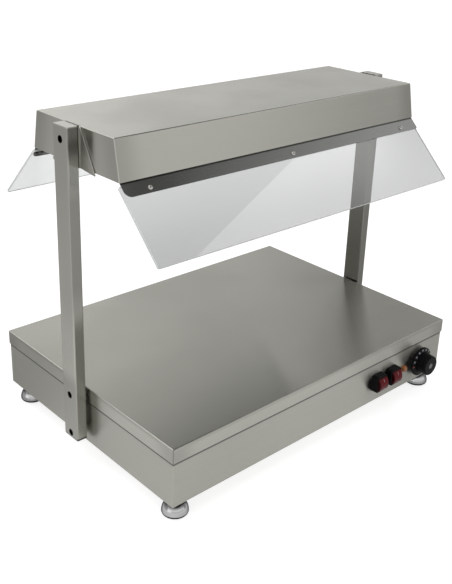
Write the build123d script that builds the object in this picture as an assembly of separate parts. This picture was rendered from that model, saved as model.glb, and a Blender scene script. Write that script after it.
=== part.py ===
from build123d import *
import os
from math import acos, cos, degrees, hypot, radians, sin, sqrt

# Food warmer with gantry: a heated plate on a shallow base, and a lamp canopy on two posts with a
# sloping clear shield along each long side. Millimetres, +Z up, X along the length, the control
# face towards -Y, and the origin on the floor under the middle of the overall box.

# Sheet metal
sheet = 1.2
fold_radius = 2.0

# Base
lid_length = 700.0
lid_depth = 498.0
lid_drop = 26.3
lid_clearance = 0.3
base_height = 109.0
foot_height = 36.2
return_width = 15.0
bottom_sheet = 1.0
bottom_margin = 3.0
bottom_screw_inset = 8.0
bottom_screw_radius = 2.0
bottom_head_radius = 3.8
bottom_head_height = 2.2
vent_length = 60.0
vent_width = 5.0
vent_pitch = 22.0
vent_count = 8

# Bell feet
foot_radius = 22.5
foot_pad_radius = 18.5
foot_belly_height = 4.5
foot_neck_radius = 8.0
foot_stem_radius = 5.0
foot_stem_length = 30.0
foot_inset = 28.5
foot_travel_gap = 0.3
foot_thread_clearance = 0.05
foot_plate_size = 52.0
foot_plate_thickness = 3.0
foot_nut_flats = 17.0
foot_nut_height = 8.0

# Posts
post_width = 40.0
post_depth = 20.0
post_wall = 1.5
post_corner = 2.5
post_gap = 4.0
post_lift = 12.0
post_rise = 0.8
cap_flange = 2.0
foot_cap_flange = 2.0
cap_spigot = 8.0
cap_clearance = 0.15
cap_channel = 14.0
access_radius = 6.3
lower_bolt_height = 21.5
upper_bolt_drop = 12.7
head_bolt_drop = 21.0

# Socket-head bolts and nuts of the posts
bolt_radius = 3.0
bolt_clearance = 0.2
bolt_head_radius = 5.0
bolt_head_height = 6.0
bolt_socket_flats = 5.0
bolt_socket_depth = 3.0
bolt_nut_flats = 10.0
bolt_nut_height = 5.0
thread_clearance = 0.05
spacer_radius = 8.0

# Canopy and gussets
serving_height = 390.0
canopy_height = 65.0
canopy_top_width = 211.6
canopy_bottom_width = 236.3
canopy_return = 14.0
gusset_top_width = 40.0
gusset_bottom_width = 120.0
gusset_inner_drop = 0.8
gusset_outer_drop = 5.0
gusset_corner = 1.5
gusset_wing_gap = 0.7
gusset_screw_spread = 14.0
gusset_screw_rise = 9.0
gusset_screw_radius = 2.0
gusset_head_radius = 3.5
gusset_head_height = 2.4

# Shields and their rails
shield_slope = 45.0
shield_reach = 141.0
shield_start = 5.0
shield_thickness = 4.0
shield_margin = 1.0
shield_offset = -4.0
shield_corner = 3.5
rail_width = 25.5
rail_leg = 18.0
rail_left_corner = 12.0
rail_right_corner = 4.0
shield_screw_inset = 48.0
shield_screw_middle = 4.0
shield_screw_down = 17.5
shield_screw_radius = 2.0
shield_screw_clearance = 0.3
shield_head_radius = 4.2
shield_head_height = 2.6
shield_washer_radius = 5.5
shield_washer_height = 1.0
shield_nut_flats = 7.0
shield_nut_height = 3.2

# Lamps, reflector and guard
reflector_sheet = 0.8
reflector_end_room = 30.0
reflector_top_half = 40.0
reflector_mouth_half = 92.0
reflector_lip = 16.0
reflector_top_drop = 14.0
reflector_lip_rise = 6.5
standoff_radius = 5.0
standoff_inset = 50.0
standoff_y = 26.0
lamp_length = 220.0
lamp_radius = 5.5
lamp_end_radius = 6.5
lamp_end_length = 12.0
lamp_pin_radius = 2.5
lamp_pin_length = 3.0
lamp_offset = 145.0
lamp_drop = 28.0
lamp_clearance = 0.3
holder_length = 14.0
holder_width = 20.0
holder_below = 8.0
guard_wire_radius = 1.25
guard_end_room = 40.0
guard_count = 15
guard_rail_spread = 60.0
guard_weld = 0.6

# Feed of the lamps through the right post
cable_radius = 2.8
cable_clearance = 0.3
cable_bend = 7.0
cable_side = 11.0
cable_low = 59.0
cable_high = 25.0
cable_base_tail = 60.0
cable_canopy_tail = 22.0
bush_radius = 6.0
bush_lip = 2.0
bush_clearance = 0.1

# Heating of the plate
element_radius = 4.0
element_end_room = 70.0
element_pitch = 60.0
element_runs = 6
element_gap = 0.2
element_pin_radius = 2.0
element_pin_length = 12.0
clamp_width = 20.0
clamp_thickness = 2.0
clamp_length = 340.0
clamp_pitch = 200.0
stud_radius = 2.5
stud_clearance = 0.2
stud_spread = 120.0
stud_nut_flats = 8.0
stud_nut_height = 4.0
slab_end_room = 40.0
slab_side_room = 64.0
slab_thickness = 25.0
slab_washer_radius = 12.0
slab_washer_height = 1.0
stud_tail = 3.0

# Controls on the front
control_height = 41.3
switch_plate_inset = 201.7
switch_lamps_inset = 159.4
pilot_inset = 117.4
knob_inset = 73.0

switch_width = 30.5
switch_tall = 34.5
switch_collar = 14.0
switch_corner = 5.5
switch_edge = 2.0
switch_draft = 2.0
switch_body_width = 24.6
switch_body_tall = 30.0
switch_body_depth = 24.0
switch_cut_clearance = 0.25
switch_pocket_floor = 2.8
rocker_width = 24.6
rocker_radius = 15.0
rocker_pivot = 8.2
rocker_front = 7.5
rocker_crown = 4.8
rocker_back = 2.0
rocker_tilt = 9.0
rocker_side_gap = 0.4
rocker_end_gap = 0.4
rocker_edge = 2.0
trunnion_radius = 1.5
trunnion_length = 1.3
trunnion_clearance = 0.06

pilot_drop = 3.6
pilot_radius = 6.0
pilot_flange_radius = 7.2
pilot_flange = 1.6
pilot_reach = 7.0
pilot_stem = 3.0
pilot_clearance = 0.15
pilot_body_radius = 6.6
pilot_body_length = 24.0
pilot_nut_flats = 18.0

knob_radius = 29.5
knob_gap = 6.5
knob_rim = 3.5
knob_cone_radius = 21.6
knob_cone_height = 6.0
knob_grip_radius = 20.6
knob_grip_taper = 0.6
knob_reach = 33.2
knob_edge = 2.8
knob_dish_radius = 6.5
knob_dish_depth = 1.4
knob_flutes = 24
knob_flute_radius = 1.3
knob_recess_radius = 25.0
knob_recess_depth = 3.5
knob_hub_radius = 6.5
knob_bore_depth = 19.0
shaft_radius = 3.0
shaft_clearance = 0.05
shaft_end_gap = 1.0
knob_press = 0.02

thermostat_width = 44.0
thermostat_tall = 34.0
thermostat_deep = 28.0
thermostat_bush_radius = 5.0
thermostat_bush_reach = 1.0
thermostat_bush_clearance = 0.25
thermostat_bore_depth = 16.0
thermostat_screw_spread = 14.0
thermostat_screw_radius = 2.0
thermostat_screw_length = 6.0
thermostat_head_radius = 3.5
thermostat_head_height = 2.2
capillary_radius = 1.0
capillary_bend = 6.0
capillary_back = 14.0
capillary_lead = 14.0
bulb_radius = 3.0
bulb_length = 70.0
bulb_gap = 0.2

# Supply inlet and terminals
gland_inset = 100.0
gland_flats = 27.0
gland_hex_height = 8.0
gland_thread_radius = 10.0
gland_thread_length = 11.0
gland_bore_radius = 5.0
gland_neck_radius = 10.5
gland_neck_length = 9.0
gland_cap_radius = 12.5
gland_cap_height = 15.0
gland_cap_clearance = 0.1
gland_locknut_flats = 26.0
gland_locknut_height = 5.0
gland_clearance = 0.25
terminal_inset = 160.0
terminal_back = 64.0
terminal_pitch = 11.0
terminal_ways = 5
terminal_depth = 22.0
terminal_tall = 19.0
terminal_screw_radius = 2.6
terminal_screw_depth = 6.0
terminal_wire_radius = 2.4

# Levels and planes that follow from the sizes above
lid_top = foot_height + base_height
plate_under = lid_top - sheet
lid_bottom = lid_top - lid_drop
skirt_length = lid_length - 2 * (sheet + lid_clearance)
skirt_depth = lid_depth - 2 * (sheet + lid_clearance)
skirt_front = -skirt_depth / 2
return_top = foot_height + sheet
bottom_under = foot_height - bottom_sheet
bottom_length = skirt_length - 2 * bottom_margin
bottom_depth = skirt_depth - 2 * bottom_margin
canopy_bottom = lid_top + serving_height
canopy_top = canopy_bottom + canopy_height
post_bottom = foot_height + post_lift
post_top = canopy_top + post_rise
post_middle = lid_length / 2 + post_gap + post_depth / 2
control_z = foot_height + control_height
switch_plate_x = lid_length / 2 - switch_plate_inset
switch_lamps_x = lid_length / 2 - switch_lamps_inset
pilot_x = lid_length / 2 - pilot_inset
knob_x = lid_length / 2 - knob_inset
gland_x = lid_length / 2 - gland_inset
terminal_x = lid_length / 2 - terminal_inset
terminal_y = lid_depth / 2 - terminal_back
shield_screw_spread = lid_length / 2 - shield_screw_inset
reflector_length = lid_length - 2 * reflector_end_room
standoff_x = reflector_length / 2 - standoff_inset
guard_pitch = (reflector_length - 2 * guard_end_room) / (guard_count - 1)
element_run = lid_length - 2 * element_end_room
slab_length = lid_length - 2 * slab_end_room
slab_depth = lid_depth - 2 * slab_side_room
foot_x = lid_length / 2 - foot_inset
foot_y = lid_depth / 2 - foot_inset
lower_bolt_z = foot_height + lower_bolt_height
upper_bolt_z = lid_top - upper_bolt_drop
head_bolt_z = canopy_top - head_bolt_drop
gland_reach = gland_hex_height + gland_cap_height
front_reach = lid_depth / 2 - sheet - lid_clearance + knob_reach
rear_reach = lid_depth / 2 - sheet - lid_clearance + gland_reach
frame_shift = (front_reach - rear_reach) / 2
on_floor = (Align.CENTER, Align.CENTER, Align.MIN)


def disc(radius, height, start=0.0):
    return Pos(0, 0, start) * Cylinder(radius, height, align=on_floor)


def hexagon(flats, height, start=0.0):
    outline = RegularPolygon(flats / 2, 6, major_radius=False)
    return Pos(0, 0, start) * extrude(outline, height)


def slab(length, depth, low, high):
    return Pos(0, 0, low) * Box(length, depth, high - low, align=on_floor)


def row(count, pitch):
    return [(step - (count - 1) / 2) * pitch for step in range(count)]


def group(shapes):
    return Compound([solid for shape in shapes for solid in shape.solids()])


def front_at(x, z):
    return Pos(x, skirt_front, z) * Rot(90, 0, 0)


def rear_at(x, z):
    return Pos(x, -skirt_front, z) * Rot(-90, 0, 0)


def end_at(side, y, z):
    return Pos(side * lid_length / 2, y, z) * Rot(0, side * 90, 0)


def rounded_tray(length, depth, low, high, radius):
    block = slab(length, depth, low, high)
    edges = block.edges().filter_by(Axis.Z) + block.faces().sort_by(Axis.Z)[-1].edges()
    return fillet(edges, radius)


def folded_strip(points, thickness):
    # A bent sheet in section: the points run along one face, the thickness lies to their left.
    normals = []
    for (y0, z0), (y1, z1) in zip(points, points[1:]):
        run = hypot(y1 - y0, z1 - z0)
        normals.append((-(z1 - z0) / run, (y1 - y0) / run))
    back = []
    for index, (y, z) in enumerate(points):
        before = normals[max(index - 1, 0)]
        after = normals[min(index, len(normals) - 1)]
        share = thickness / (1 + before[0] * after[0] + before[1] * after[1])
        back.append((y + share * (before[0] + after[0]), z + share * (before[1] + after[1])))
    outline = Polyline(*points, *reversed(back), close=True)
    return make_face(Plane.YZ * outline)


def both_ways(section, length):
    return extrude(section, length / 2, both=True)


# Heated plate and base


def top_plate():
    outside = rounded_tray(lid_length, lid_depth, lid_bottom, lid_top, fold_radius)
    plate = outside - slab(lid_length - 2 * sheet, lid_depth - 2 * sheet, lid_bottom - 1, plate_under)
    for side in (-1, 1):
        plate -= end_at(side, 0, upper_bolt_z) * disc(bolt_radius + bolt_clearance, 4 * sheet, -3 * sheet)
    return plate


def base_skirt():
    outside = slab(skirt_length, skirt_depth, foot_height, plate_under)
    outside = fillet(outside.edges().filter_by(Axis.Z), fold_radius)
    inside = slab(skirt_length - 2 * sheet, skirt_depth - 2 * sheet, return_top, lid_top)
    inside = fillet(inside.edges().filter_by(Axis.Z), fold_radius - sheet)
    mouth = slab(skirt_length - 2 * return_width, skirt_depth - 2 * return_width, 0, lid_top)
    skirt = outside - inside - mouth
    through = 4 * sheet
    for side in (-1, 1):
        for level in (lower_bolt_z, upper_bolt_z):
            hole = disc(bolt_radius + bolt_clearance, 2 * through, -1.5 * through)
            skirt -= end_at(side, 0, level) * hole
    skirt -= end_at(1, cable_side, cable_level()) * disc(bush_radius + bush_clearance, 2 * through, -1.5 * through)
    for x in (switch_plate_x, switch_lamps_x):
        width = switch_body_width + 2 * switch_cut_clearance
        tall = switch_body_tall + 2 * switch_cut_clearance
        skirt -= front_at(x, control_z) * Box(width, tall, through)
    skirt -= front_at(pilot_x, control_z - pilot_drop) * disc(pilot_radius + pilot_clearance, through, -through / 2)
    bush = disc(thermostat_bush_radius + thermostat_bush_clearance, through, -through / 2)
    skirt -= front_at(knob_x, control_z) * bush
    for side in (-1, 1):
        hole = disc(thermostat_screw_radius + bolt_clearance, through, -through / 2)
        skirt -= front_at(knob_x + side * thermostat_screw_spread, control_z) * hole
    skirt -= rear_at(gland_x, control_z) * disc(gland_thread_radius + gland_clearance, through, -through / 2)
    for x, y in foot_places():
        skirt -= Pos(x, y, 0) * disc(foot_stem_radius + 1, lid_bottom)
    for x, y in bottom_screw_places():
        skirt -= Pos(x, y, 0) * disc(bottom_screw_radius + thread_clearance, foot_height + sheet)
    return skirt


def foot_places():
    return [(side * foot_x, way * foot_y) for way in (-1, 1) for side in (-1, 1)]


def bottom_screw_places():
    x = skirt_length / 2 - bottom_screw_inset
    y = skirt_depth / 2 - bottom_screw_inset
    long_sides = [(step, way * y) for step in row(3, lid_length / 3) for way in (-1, 1)]
    short_sides = [(side * x, step) for step in row(2, lid_depth / 3) for side in (-1, 1)]
    return long_sides + short_sides


def bottom_plate():
    plate = slab(bottom_length, bottom_depth, bottom_under, foot_height)
    for x, y in foot_places():
        plate -= Pos(x, y, 0) * disc(foot_stem_radius + 1, lid_bottom)
    for x, y in bottom_screw_places():
        plate -= Pos(x, y, 0) * disc(bottom_screw_radius + bolt_clearance, lid_bottom)
    vent = extrude(SlotOverall(vent_length, vent_width), lid_bottom)
    for side in (-1, 1):
        for y in row(vent_count, vent_pitch):
            plate -= Pos(side * lid_length / 4, y, 0) * vent
    return plate


def bottom_screws():
    screws = []
    for x, y in bottom_screw_places():
        head = disc(bottom_head_radius, bottom_head_height, bottom_under - bottom_head_height)
        head = fillet(head.faces().sort_by(Axis.Z)[0].edges(), bottom_head_height * 0.6)
        shank = disc(bottom_screw_radius, 3 * sheet + bottom_sheet, bottom_under)
        screws.append(Pos(x, y, 0) * (head + shank))
    return group(screws)


# Feet: a bell turned about its stem, and the plate and nut inside each corner


def foot(x, y):
    neck_angle = degrees(acos(foot_neck_radius / foot_radius))
    neck_start = foot_belly_height + sqrt(foot_radius ** 2 - foot_neck_radius ** 2)
    neck_end = bottom_under - foot_travel_gap
    stem_top = neck_end + foot_stem_length
    lip = 0.707 * (foot_radius - foot_pad_radius)
    outline = [
        Line((0, 0), (foot_pad_radius, 0)),
        ThreePointArc((foot_pad_radius, 0), (foot_pad_radius + lip, foot_belly_height * 0.293),
                      (foot_radius, foot_belly_height)),
        CenterArc((0, foot_belly_height), foot_radius, 0, neck_angle),
        Line((foot_neck_radius, neck_start), (foot_neck_radius, neck_end)),
        Line((foot_neck_radius, neck_end), (foot_stem_radius, neck_end)),
        Line((foot_stem_radius, neck_end), (foot_stem_radius, stem_top)),
        Line((foot_stem_radius, stem_top), (0, stem_top)),
        Line((0, stem_top), (0, 0)),
    ]
    section = make_face(Plane.XZ * Wire(outline))
    return Pos(x, y, 0) * revolve(section, Axis.Z)


def foot_plates():
    plates = []
    reach = foot_plate_size
    for x, y in foot_places():
        side = 1 if x > 0 else -1
        way = 1 if y > 0 else -1
        corner_x = side * (skirt_length / 2 - sheet - reach / 2)
        corner_y = way * (skirt_depth / 2 - sheet - reach / 2)
        plate = Pos(corner_x, corner_y, return_top) * Box(reach, reach, foot_plate_thickness, align=on_floor)
        plate = chamfer(plate.edges().filter_by(Axis.Z), 6)
        plates.append(plate - Pos(x, y, 0) * disc(foot_stem_radius + 0.5, lid_bottom))
    return group(plates)


def foot_nuts():
    level = return_top + foot_plate_thickness
    nuts = []
    for x, y in foot_places():
        nut = hexagon(foot_nut_flats, foot_nut_height) - disc(foot_stem_radius + foot_thread_clearance, 20)
        nuts.append(Pos(x, y, level) * nut)
    return group(nuts)


# Posts with their plugs, and the bolts that are reached through holes in the outer walls


def post(side):
    low = post_bottom + foot_cap_flange
    high = post_top - cap_flange
    outer = RectangleRounded(post_depth, post_width, post_corner)
    inner = RectangleRounded(post_depth - 2 * post_wall, post_width - 2 * post_wall, post_corner - post_wall)
    tube = Pos(post_middle, 0, low) * (extrude(outer, high - low) - Pos(0, 0, -1) * extrude(inner, high - low + 2))
    far_wall = post_gap + post_depth
    for level in (lower_bolt_z, upper_bolt_z, head_bolt_z):
        tube -= end_at(1, 0, level) * disc(access_radius, 2 * post_wall, far_wall - 1.5 * post_wall)
        tube -= end_at(1, 0, level) * disc(bolt_radius + bolt_clearance, 2 * post_wall, post_gap - post_wall / 2)
    if side < 0:
        return mirror(tube, Plane.YZ)
    for level in (cable_level(), cable_head()):
        hole = disc(bush_radius + bush_clearance, 2 * post_wall, post_gap - post_wall / 2)
        tube -= end_at(1, cable_side, level) * hole
    return tube


def post_plug(flange, edge):
    bore_x = post_depth - 2 * (post_wall + cap_clearance)
    bore_y = post_width - 2 * (post_wall + cap_clearance)
    top = extrude(RectangleRounded(post_depth, post_width, post_corner), flange)
    top = fillet(top.faces().sort_by(Axis.Z)[-1].edges(), edge)
    spigot = extrude(RectangleRounded(bore_x, bore_y, post_corner - post_wall), -cap_spigot)
    spigot -= Box(post_depth, cap_channel, 3 * cap_spigot)
    return top + spigot


def post_top_caps():
    plug = post_plug(cap_flange, 0.5)
    return group([Pos(side * post_middle, 0, post_top - cap_flange) * plug for side in (-1, 1)])


def post_foot_caps():
    plug = Rot(180, 0, 0) * post_plug(foot_cap_flange, 1.2)
    return group([Pos(side * post_middle, 0, post_bottom + foot_cap_flange) * plug for side in (-1, 1)])


def socket_bolt(grip):
    # Local z runs outwards; the head bears at zero and the shank reaches inwards.
    head = disc(bolt_head_radius, bolt_head_height)
    head = fillet(head.faces().sort_by(Axis.Z)[-1].edges(), 0.6)
    socket = hexagon(bolt_socket_flats, bolt_socket_depth + 1, bolt_head_height - bolt_socket_depth)
    shank = disc(bolt_radius, grip, -grip)
    return head - socket + shank


def plain_nut(flats, height, bore):
    nut = hexagon(flats, height) - disc(bore, height)
    return nut


def skirt_inside():
    return -(2 * sheet + lid_clearance)


def post_bolts():
    head_seat = post_gap + post_wall
    grip = head_seat - skirt_inside() + bolt_nut_height + 2
    bolt = Pos(0, 0, head_seat) * socket_bolt(grip)
    return group([end_at(side, 0, z) * bolt for side in (-1, 1) for z in (lower_bolt_z, upper_bolt_z)])


def post_nuts():
    nut = plain_nut(bolt_nut_flats, bolt_nut_height, bolt_radius + thread_clearance)
    nut = Pos(0, 0, skirt_inside() - bolt_nut_height) * nut
    return group([end_at(side, 0, z) * nut for side in (-1, 1) for z in (lower_bolt_z, upper_bolt_z)])


def post_spacers():
    spacers = []
    for side in (-1, 1):
        for level, seat in ((lower_bolt_z, -(sheet + lid_clearance)), (upper_bolt_z, 0)):
            ring = disc(spacer_radius, post_gap - seat, seat)
            ring -= disc(bolt_radius + bolt_clearance, 2 * (post_gap - seat), seat - 1)
            spacers.append(end_at(side, 0, level) * ring)
    return group(spacers)


def head_bolts():
    head_seat = post_gap + post_wall
    grip = head_seat + sheet + bolt_nut_height + 2
    bolt = Pos(0, 0, head_seat) * socket_bolt(grip)
    return group([end_at(side, 0, head_bolt_z) * bolt for side in (-1, 1)])


def head_nuts():
    nut = plain_nut(bolt_nut_flats, bolt_nut_height, bolt_radius + thread_clearance)
    nut = Pos(0, 0, -sheet - bolt_nut_height) * nut
    return group([end_at(side, 0, head_bolt_z) * nut for side in (-1, 1)])


# Gussets: a thick pad behind the post, and a thin wing that spreads to the foot of the canopy's end


def gusset(side):
    pad_low = canopy_bottom - gusset_inner_drop
    wing_low = canopy_bottom - gusset_outer_drop
    pad_half, wing_half = gusset_top_width / 2, gusset_bottom_width / 2
    outline = Polyline((-pad_half, canopy_top), (-wing_half, wing_low), (-pad_half, pad_low), (pad_half, pad_low),
                       (wing_half, wing_low), (pad_half, canopy_top), close=True)
    wing = extrude(make_face(Plane.YZ * outline), sheet)
    wing = Pos(gusset_wing_gap, 0, 0) * fillet(wing.edges().filter_by(Axis.X).group_by(Axis.Z)[0], gusset_corner)
    pad = Pos(post_gap / 2, 0, pad_low) * Box(post_gap, gusset_top_width, canopy_top - pad_low, align=on_floor)
    plate = pad + wing
    if side < 0:
        plate = mirror(plate, Plane.YZ)
    plate = Pos(side * lid_length / 2, 0, 0) * plate
    plate -= end_at(side, 0, head_bolt_z) * disc(bolt_radius + bolt_clearance, 3 * post_gap, -post_gap)
    for y in (-gusset_screw_spread, gusset_screw_spread):
        hole = disc(gusset_screw_radius + thread_clearance, post_gap, -1)
        plate -= end_at(side, y, canopy_bottom + gusset_screw_rise) * hole
    if side > 0:
        plate -= end_at(side, cable_side, cable_head()) * disc(bush_radius + bush_clearance, 3 * post_gap, -post_gap)
    return plate


def gusset_screws():
    screws = []
    for side in (-1, 1):
        for y in (-gusset_screw_spread, gusset_screw_spread):
            head = disc(gusset_head_radius, gusset_head_height, -sheet - gusset_head_height)
            head = fillet(head.faces().sort_by(Axis.Z)[0].edges(), gusset_head_height * 0.5)
            shank = disc(gusset_screw_radius, sheet + post_gap - 1.5, -sheet)
            screws.append(end_at(side, y, canopy_bottom + gusset_screw_rise) * (head + shank))
    return group(screws)


# Canopy: a folded trapezoid with upright ends, open underneath


def canopy_lean():
    # Sideways run of the long faces for each millimetre of height.
    return (canopy_bottom_width - canopy_top_width) / 2 / canopy_height


def canopy():
    outline = Polyline((-canopy_top_width / 2, canopy_top), (-canopy_bottom_width / 2, canopy_bottom),
                       (canopy_bottom_width / 2, canopy_bottom), (canopy_top_width / 2, canopy_top), close=True)
    outside = both_ways(make_face(Plane.YZ * outline), lid_length)
    long_edges = outside.edges().filter_by(Axis.X).group_by(Axis.Z)[-1]
    outside = fillet(long_edges + outside.edges().filter_by(Axis.Y).group_by(Axis.Z)[-1], fold_radius)
    lean = canopy_lean()
    skin = sheet * hypot(1, lean)
    top = canopy_top - sheet
    top_half = canopy_top_width / 2 + lean * sheet - skin
    low = canopy_bottom - 1
    low_half = canopy_bottom_width / 2 + lean - skin
    cavity = Polyline((-top_half, top), (-low_half, low), (low_half, low), (top_half, top), close=True)
    shell = outside - both_ways(make_face(Plane.YZ * cavity), lid_length - 2 * sheet)
    for side in (-1, 1):
        start = side * (lid_length / 2 - sheet - canopy_return / 2)
        width = 2 * (rail_top_half() - rail_leg * lean - 3 * sheet)
        lip = Pos(start, 0, canopy_bottom) * Box(canopy_return, width, sheet, align=on_floor)
        shell += lip
        shell -= end_at(side, 0, head_bolt_z) * disc(bolt_radius + bolt_clearance, 4 * sheet, -3 * sheet)
        for y in (-gusset_screw_spread, gusset_screw_spread):
            hole = disc(gusset_screw_radius + bolt_clearance, 4 * sheet, -3 * sheet)
            shell -= end_at(side, y, canopy_bottom + gusset_screw_rise) * hole
    shell -= end_at(1, cable_side, cable_head()) * disc(bush_radius + bush_clearance, 4 * sheet, -3 * sheet)
    return shell


# Shield rails, shields and their screws. The front ones are made in the plane of the slope,
# and the rear ones are their mirror images.


def rail_top_half():
    # Inner face of the long wall at the canopy's lower edge, where the rail folds outwards.
    return canopy_bottom_width / 2 - sheet * hypot(1, canopy_lean())


def slope_plane():
    turn = radians(shield_slope)
    return Plane(origin=(0, -rail_top_half(), canopy_bottom), x_dir=(1, 0, 0), z_dir=(0, -sin(turn), cos(turn)))


def shield_screw_places():
    return [(-shield_screw_spread, -shield_screw_down), (shield_screw_middle, -shield_screw_down),
            (shield_screw_spread, -shield_screw_down)]


def rear_of(shape):
    return mirror(shape, Plane.XZ)


def shield_rail():
    lean = canopy_lean()
    fold = (-rail_top_half(), canopy_bottom)
    top = (fold[0] + rail_leg * lean, canopy_bottom + rail_leg)
    turn = radians(shield_slope)
    tip = (fold[0] - rail_width * cos(turn), fold[1] - rail_width * sin(turn))
    strip = both_ways(folded_strip([top, fold, tip], sheet), lid_length - 2 * sheet - 2 * lid_clearance)
    for end, radius in ((0, rail_left_corner), (-1, rail_right_corner)):
        short = strip.edges().filter_by(lambda edge: edge.length < 2 * sheet)
        strip = fillet(short.group_by(Axis.Z)[0].sort_by(Axis.X)[end], radius)
    hole = disc(shield_screw_radius + shield_screw_clearance, 4 * sheet, -3 * sheet)
    for x, y in shield_screw_places():
        strip -= slope_plane() * Pos(x, y, 0) * hole
    return strip


def shield():
    length = lid_length - 2 * shield_margin
    depth = shield_reach - shield_start
    sheet_low = -sheet - shield_thickness
    middle = -(shield_reach + shield_start) / 2
    pane = Pos(shield_offset, middle, sheet_low) * Box(length, depth, shield_thickness, align=on_floor)
    pane = fillet(pane.edges().filter_by(Axis.Z), shield_corner)
    pane = chamfer(pane.faces().filter_by(Axis.Z).edges(), 0.4)
    for x, y in shield_screw_places():
        pane -= Pos(x, y, 0) * disc(shield_screw_radius + shield_screw_clearance, 20, -10)
    return slope_plane() * pane


def shield_screw():
    head = disc(shield_head_radius, shield_head_height)
    head = fillet(head.faces().sort_by(Axis.Z)[-1].edges(), shield_head_height * 0.7)
    stack = sheet + shield_thickness + shield_washer_height + shield_nut_height
    return head + disc(shield_screw_radius, stack, -stack)


def front_and_rear(piece):
    placed = [slope_plane() * Pos(x, y, 0) * piece for x, y in shield_screw_places()]
    return group(placed + [rear_of(each) for each in placed])


def shield_washers():
    seat = -sheet - shield_thickness - shield_washer_height
    ring = disc(shield_washer_radius, shield_washer_height, seat)
    return front_and_rear(ring - disc(shield_screw_radius + shield_screw_clearance, 20, -15))


def shield_nuts():
    seat = -sheet - shield_thickness - shield_washer_height - shield_nut_height
    nut = plain_nut(shield_nut_flats, shield_nut_height, shield_screw_radius + thread_clearance)
    return front_and_rear(Pos(0, 0, seat) * nut)


# Lamps in a folded reflector that hangs from the canopy's top on stand-offs


def reflector_top():
    return canopy_top - reflector_top_drop


def lamp_level():
    return canopy_top - lamp_drop


def reflector_lip_top():
    return canopy_bottom + reflector_lip_rise


def reflector():
    outer = reflector_mouth_half + reflector_lip
    path = [(outer, reflector_lip_top()), (reflector_mouth_half, reflector_lip_top()),
            (reflector_top_half, reflector_top()), (-reflector_top_half, reflector_top()),
            (-reflector_mouth_half, reflector_lip_top()), (-outer, reflector_lip_top())]
    return both_ways(folded_strip(path, reflector_sheet), reflector_length)


def reflector_standoffs():
    low = reflector_top()
    high = canopy_top - sheet
    return group([Pos(x, y, low) * disc(standoff_radius, high - low)
                  for x in (-standoff_x, standoff_x) for y in (-standoff_y, standoff_y)])


def lamp(side):
    body = lamp_length - 2 * lamp_end_length
    tube = Pos(0, 0, -body / 2) * disc(lamp_radius, body)
    tube = fillet(tube.faces().filter_by(GeomType.PLANE).edges(), 1.5)
    for way in (-1, 1):
        cap = disc(lamp_end_radius, lamp_end_length + 2, lamp_length / 2 - lamp_end_length - 2)
        pin = disc(lamp_pin_radius, lamp_pin_length, lamp_length / 2)
        tube += Rot(0, 90 - 90 * way, 0) * (cap + pin)
    return Pos(side * lamp_offset, 0, lamp_level()) * Rot(0, 90, 0) * tube


def lamp_holders():
    holders = []
    under = reflector_top() - reflector_sheet
    low = lamp_level() - holder_below
    for side in (-1, 1):
        for way in (-1, 1):
            face = lamp_length / 2 + lamp_clearance
            block = Pos(way * (face + holder_length / 2), 0, low) * Box(holder_length, holder_width, under - low,
                                                                        align=on_floor)
            block = fillet(block.edges().filter_by(Axis.Z), 2)
            socket = disc(lamp_pin_radius + lamp_clearance, lamp_pin_length + lamp_clearance)
            block -= Pos(way * face, 0, lamp_level()) * Rot(0, way * 90, 0) * socket
            holders.append(Pos(side * lamp_offset, 0, 0) * block)
    return group(holders)


def lamp_guard():
    level = reflector_lip_top() - reflector_sheet - guard_wire_radius
    reach = reflector_mouth_half + reflector_lip / 2
    wire = Rot(90, 0, 0) * Cylinder(guard_wire_radius, 2 * reach)
    guard = None
    long_length = guard_pitch * (guard_count - 1) + 4 * guard_wire_radius
    for y in (-guard_rail_spread, 0, guard_rail_spread):
        rail = Pos(0, y, level - 2 * guard_wire_radius + guard_weld) * Rot(0, 90, 0) * Cylinder(guard_wire_radius,
                                                                                              long_length)
        guard = rail if guard is None else guard + rail
    for x in row(guard_count, guard_pitch):
        guard += Pos(x, 0, level) * wire
    return guard


# Feed of the lamps: out of the base, up inside the right post and into the canopy


def cable_level():
    return foot_height + cable_low


def cable_head():
    return canopy_bottom + cable_high


def lamp_cable():
    x = post_middle
    start = lid_length / 2 - cable_base_tail
    finish = lid_length / 2 - cable_canopy_tail
    low = cable_level()
    high = cable_head()
    route = FilletPolyline((start, cable_side, low), (x, cable_side, low), (x, cable_side, high),
                           (finish, cable_side, high), radius=cable_bend)
    section = Plane(origin=(start, cable_side, low), z_dir=(1, 0, 0)) * Circle(cable_radius)
    return sweep(section, route)


def wire_bushes():
    bushes = []
    for level, inner in ((cable_level(), skirt_inside() - bush_lip), (cable_head(), -sheet - bush_lip)):
        outer = post_gap + post_wall + bush_lip
        ring = disc(bush_radius, outer - inner, inner) - disc(cable_radius + cable_clearance, 2 * (outer - inner), inner - bush_lip)
        bushes.append(end_at(1, cable_side, level) * ring)
    return group(bushes)


# Heating of the plate: a sheathed element in a zigzag, pressed up by clamp bars on studs


def element_level():
    return plate_under - element_gap - element_radius


def plate_element():
    bend = element_pitch / 2
    lines = row(element_runs, element_pitch)
    half = element_run / 2
    path = []
    for index, y in enumerate(lines):
        away = -1 if index % 2 == 0 else 1
        path.append(Line((-away * half, y), (away * half, y)))
        if index + 1 < len(lines):
            path.append(ThreePointArc((away * half, y), (away * (half + bend), y + bend), (away * half, lines[index + 1])))
    route = Pos(0, 0, element_level()) * Wire(path)
    start = (half, lines[0], element_level())
    rod = sweep(Plane(origin=start, z_dir=(-1, 0, 0)) * Circle(element_radius), route)
    for y in (lines[0], lines[-1]):
        rod += Pos(half, y, element_level()) * Rot(0, 90, 0) * disc(element_pin_radius, element_pin_length)
    return rod


def clamp_top():
    return element_level() - element_radius


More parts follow.
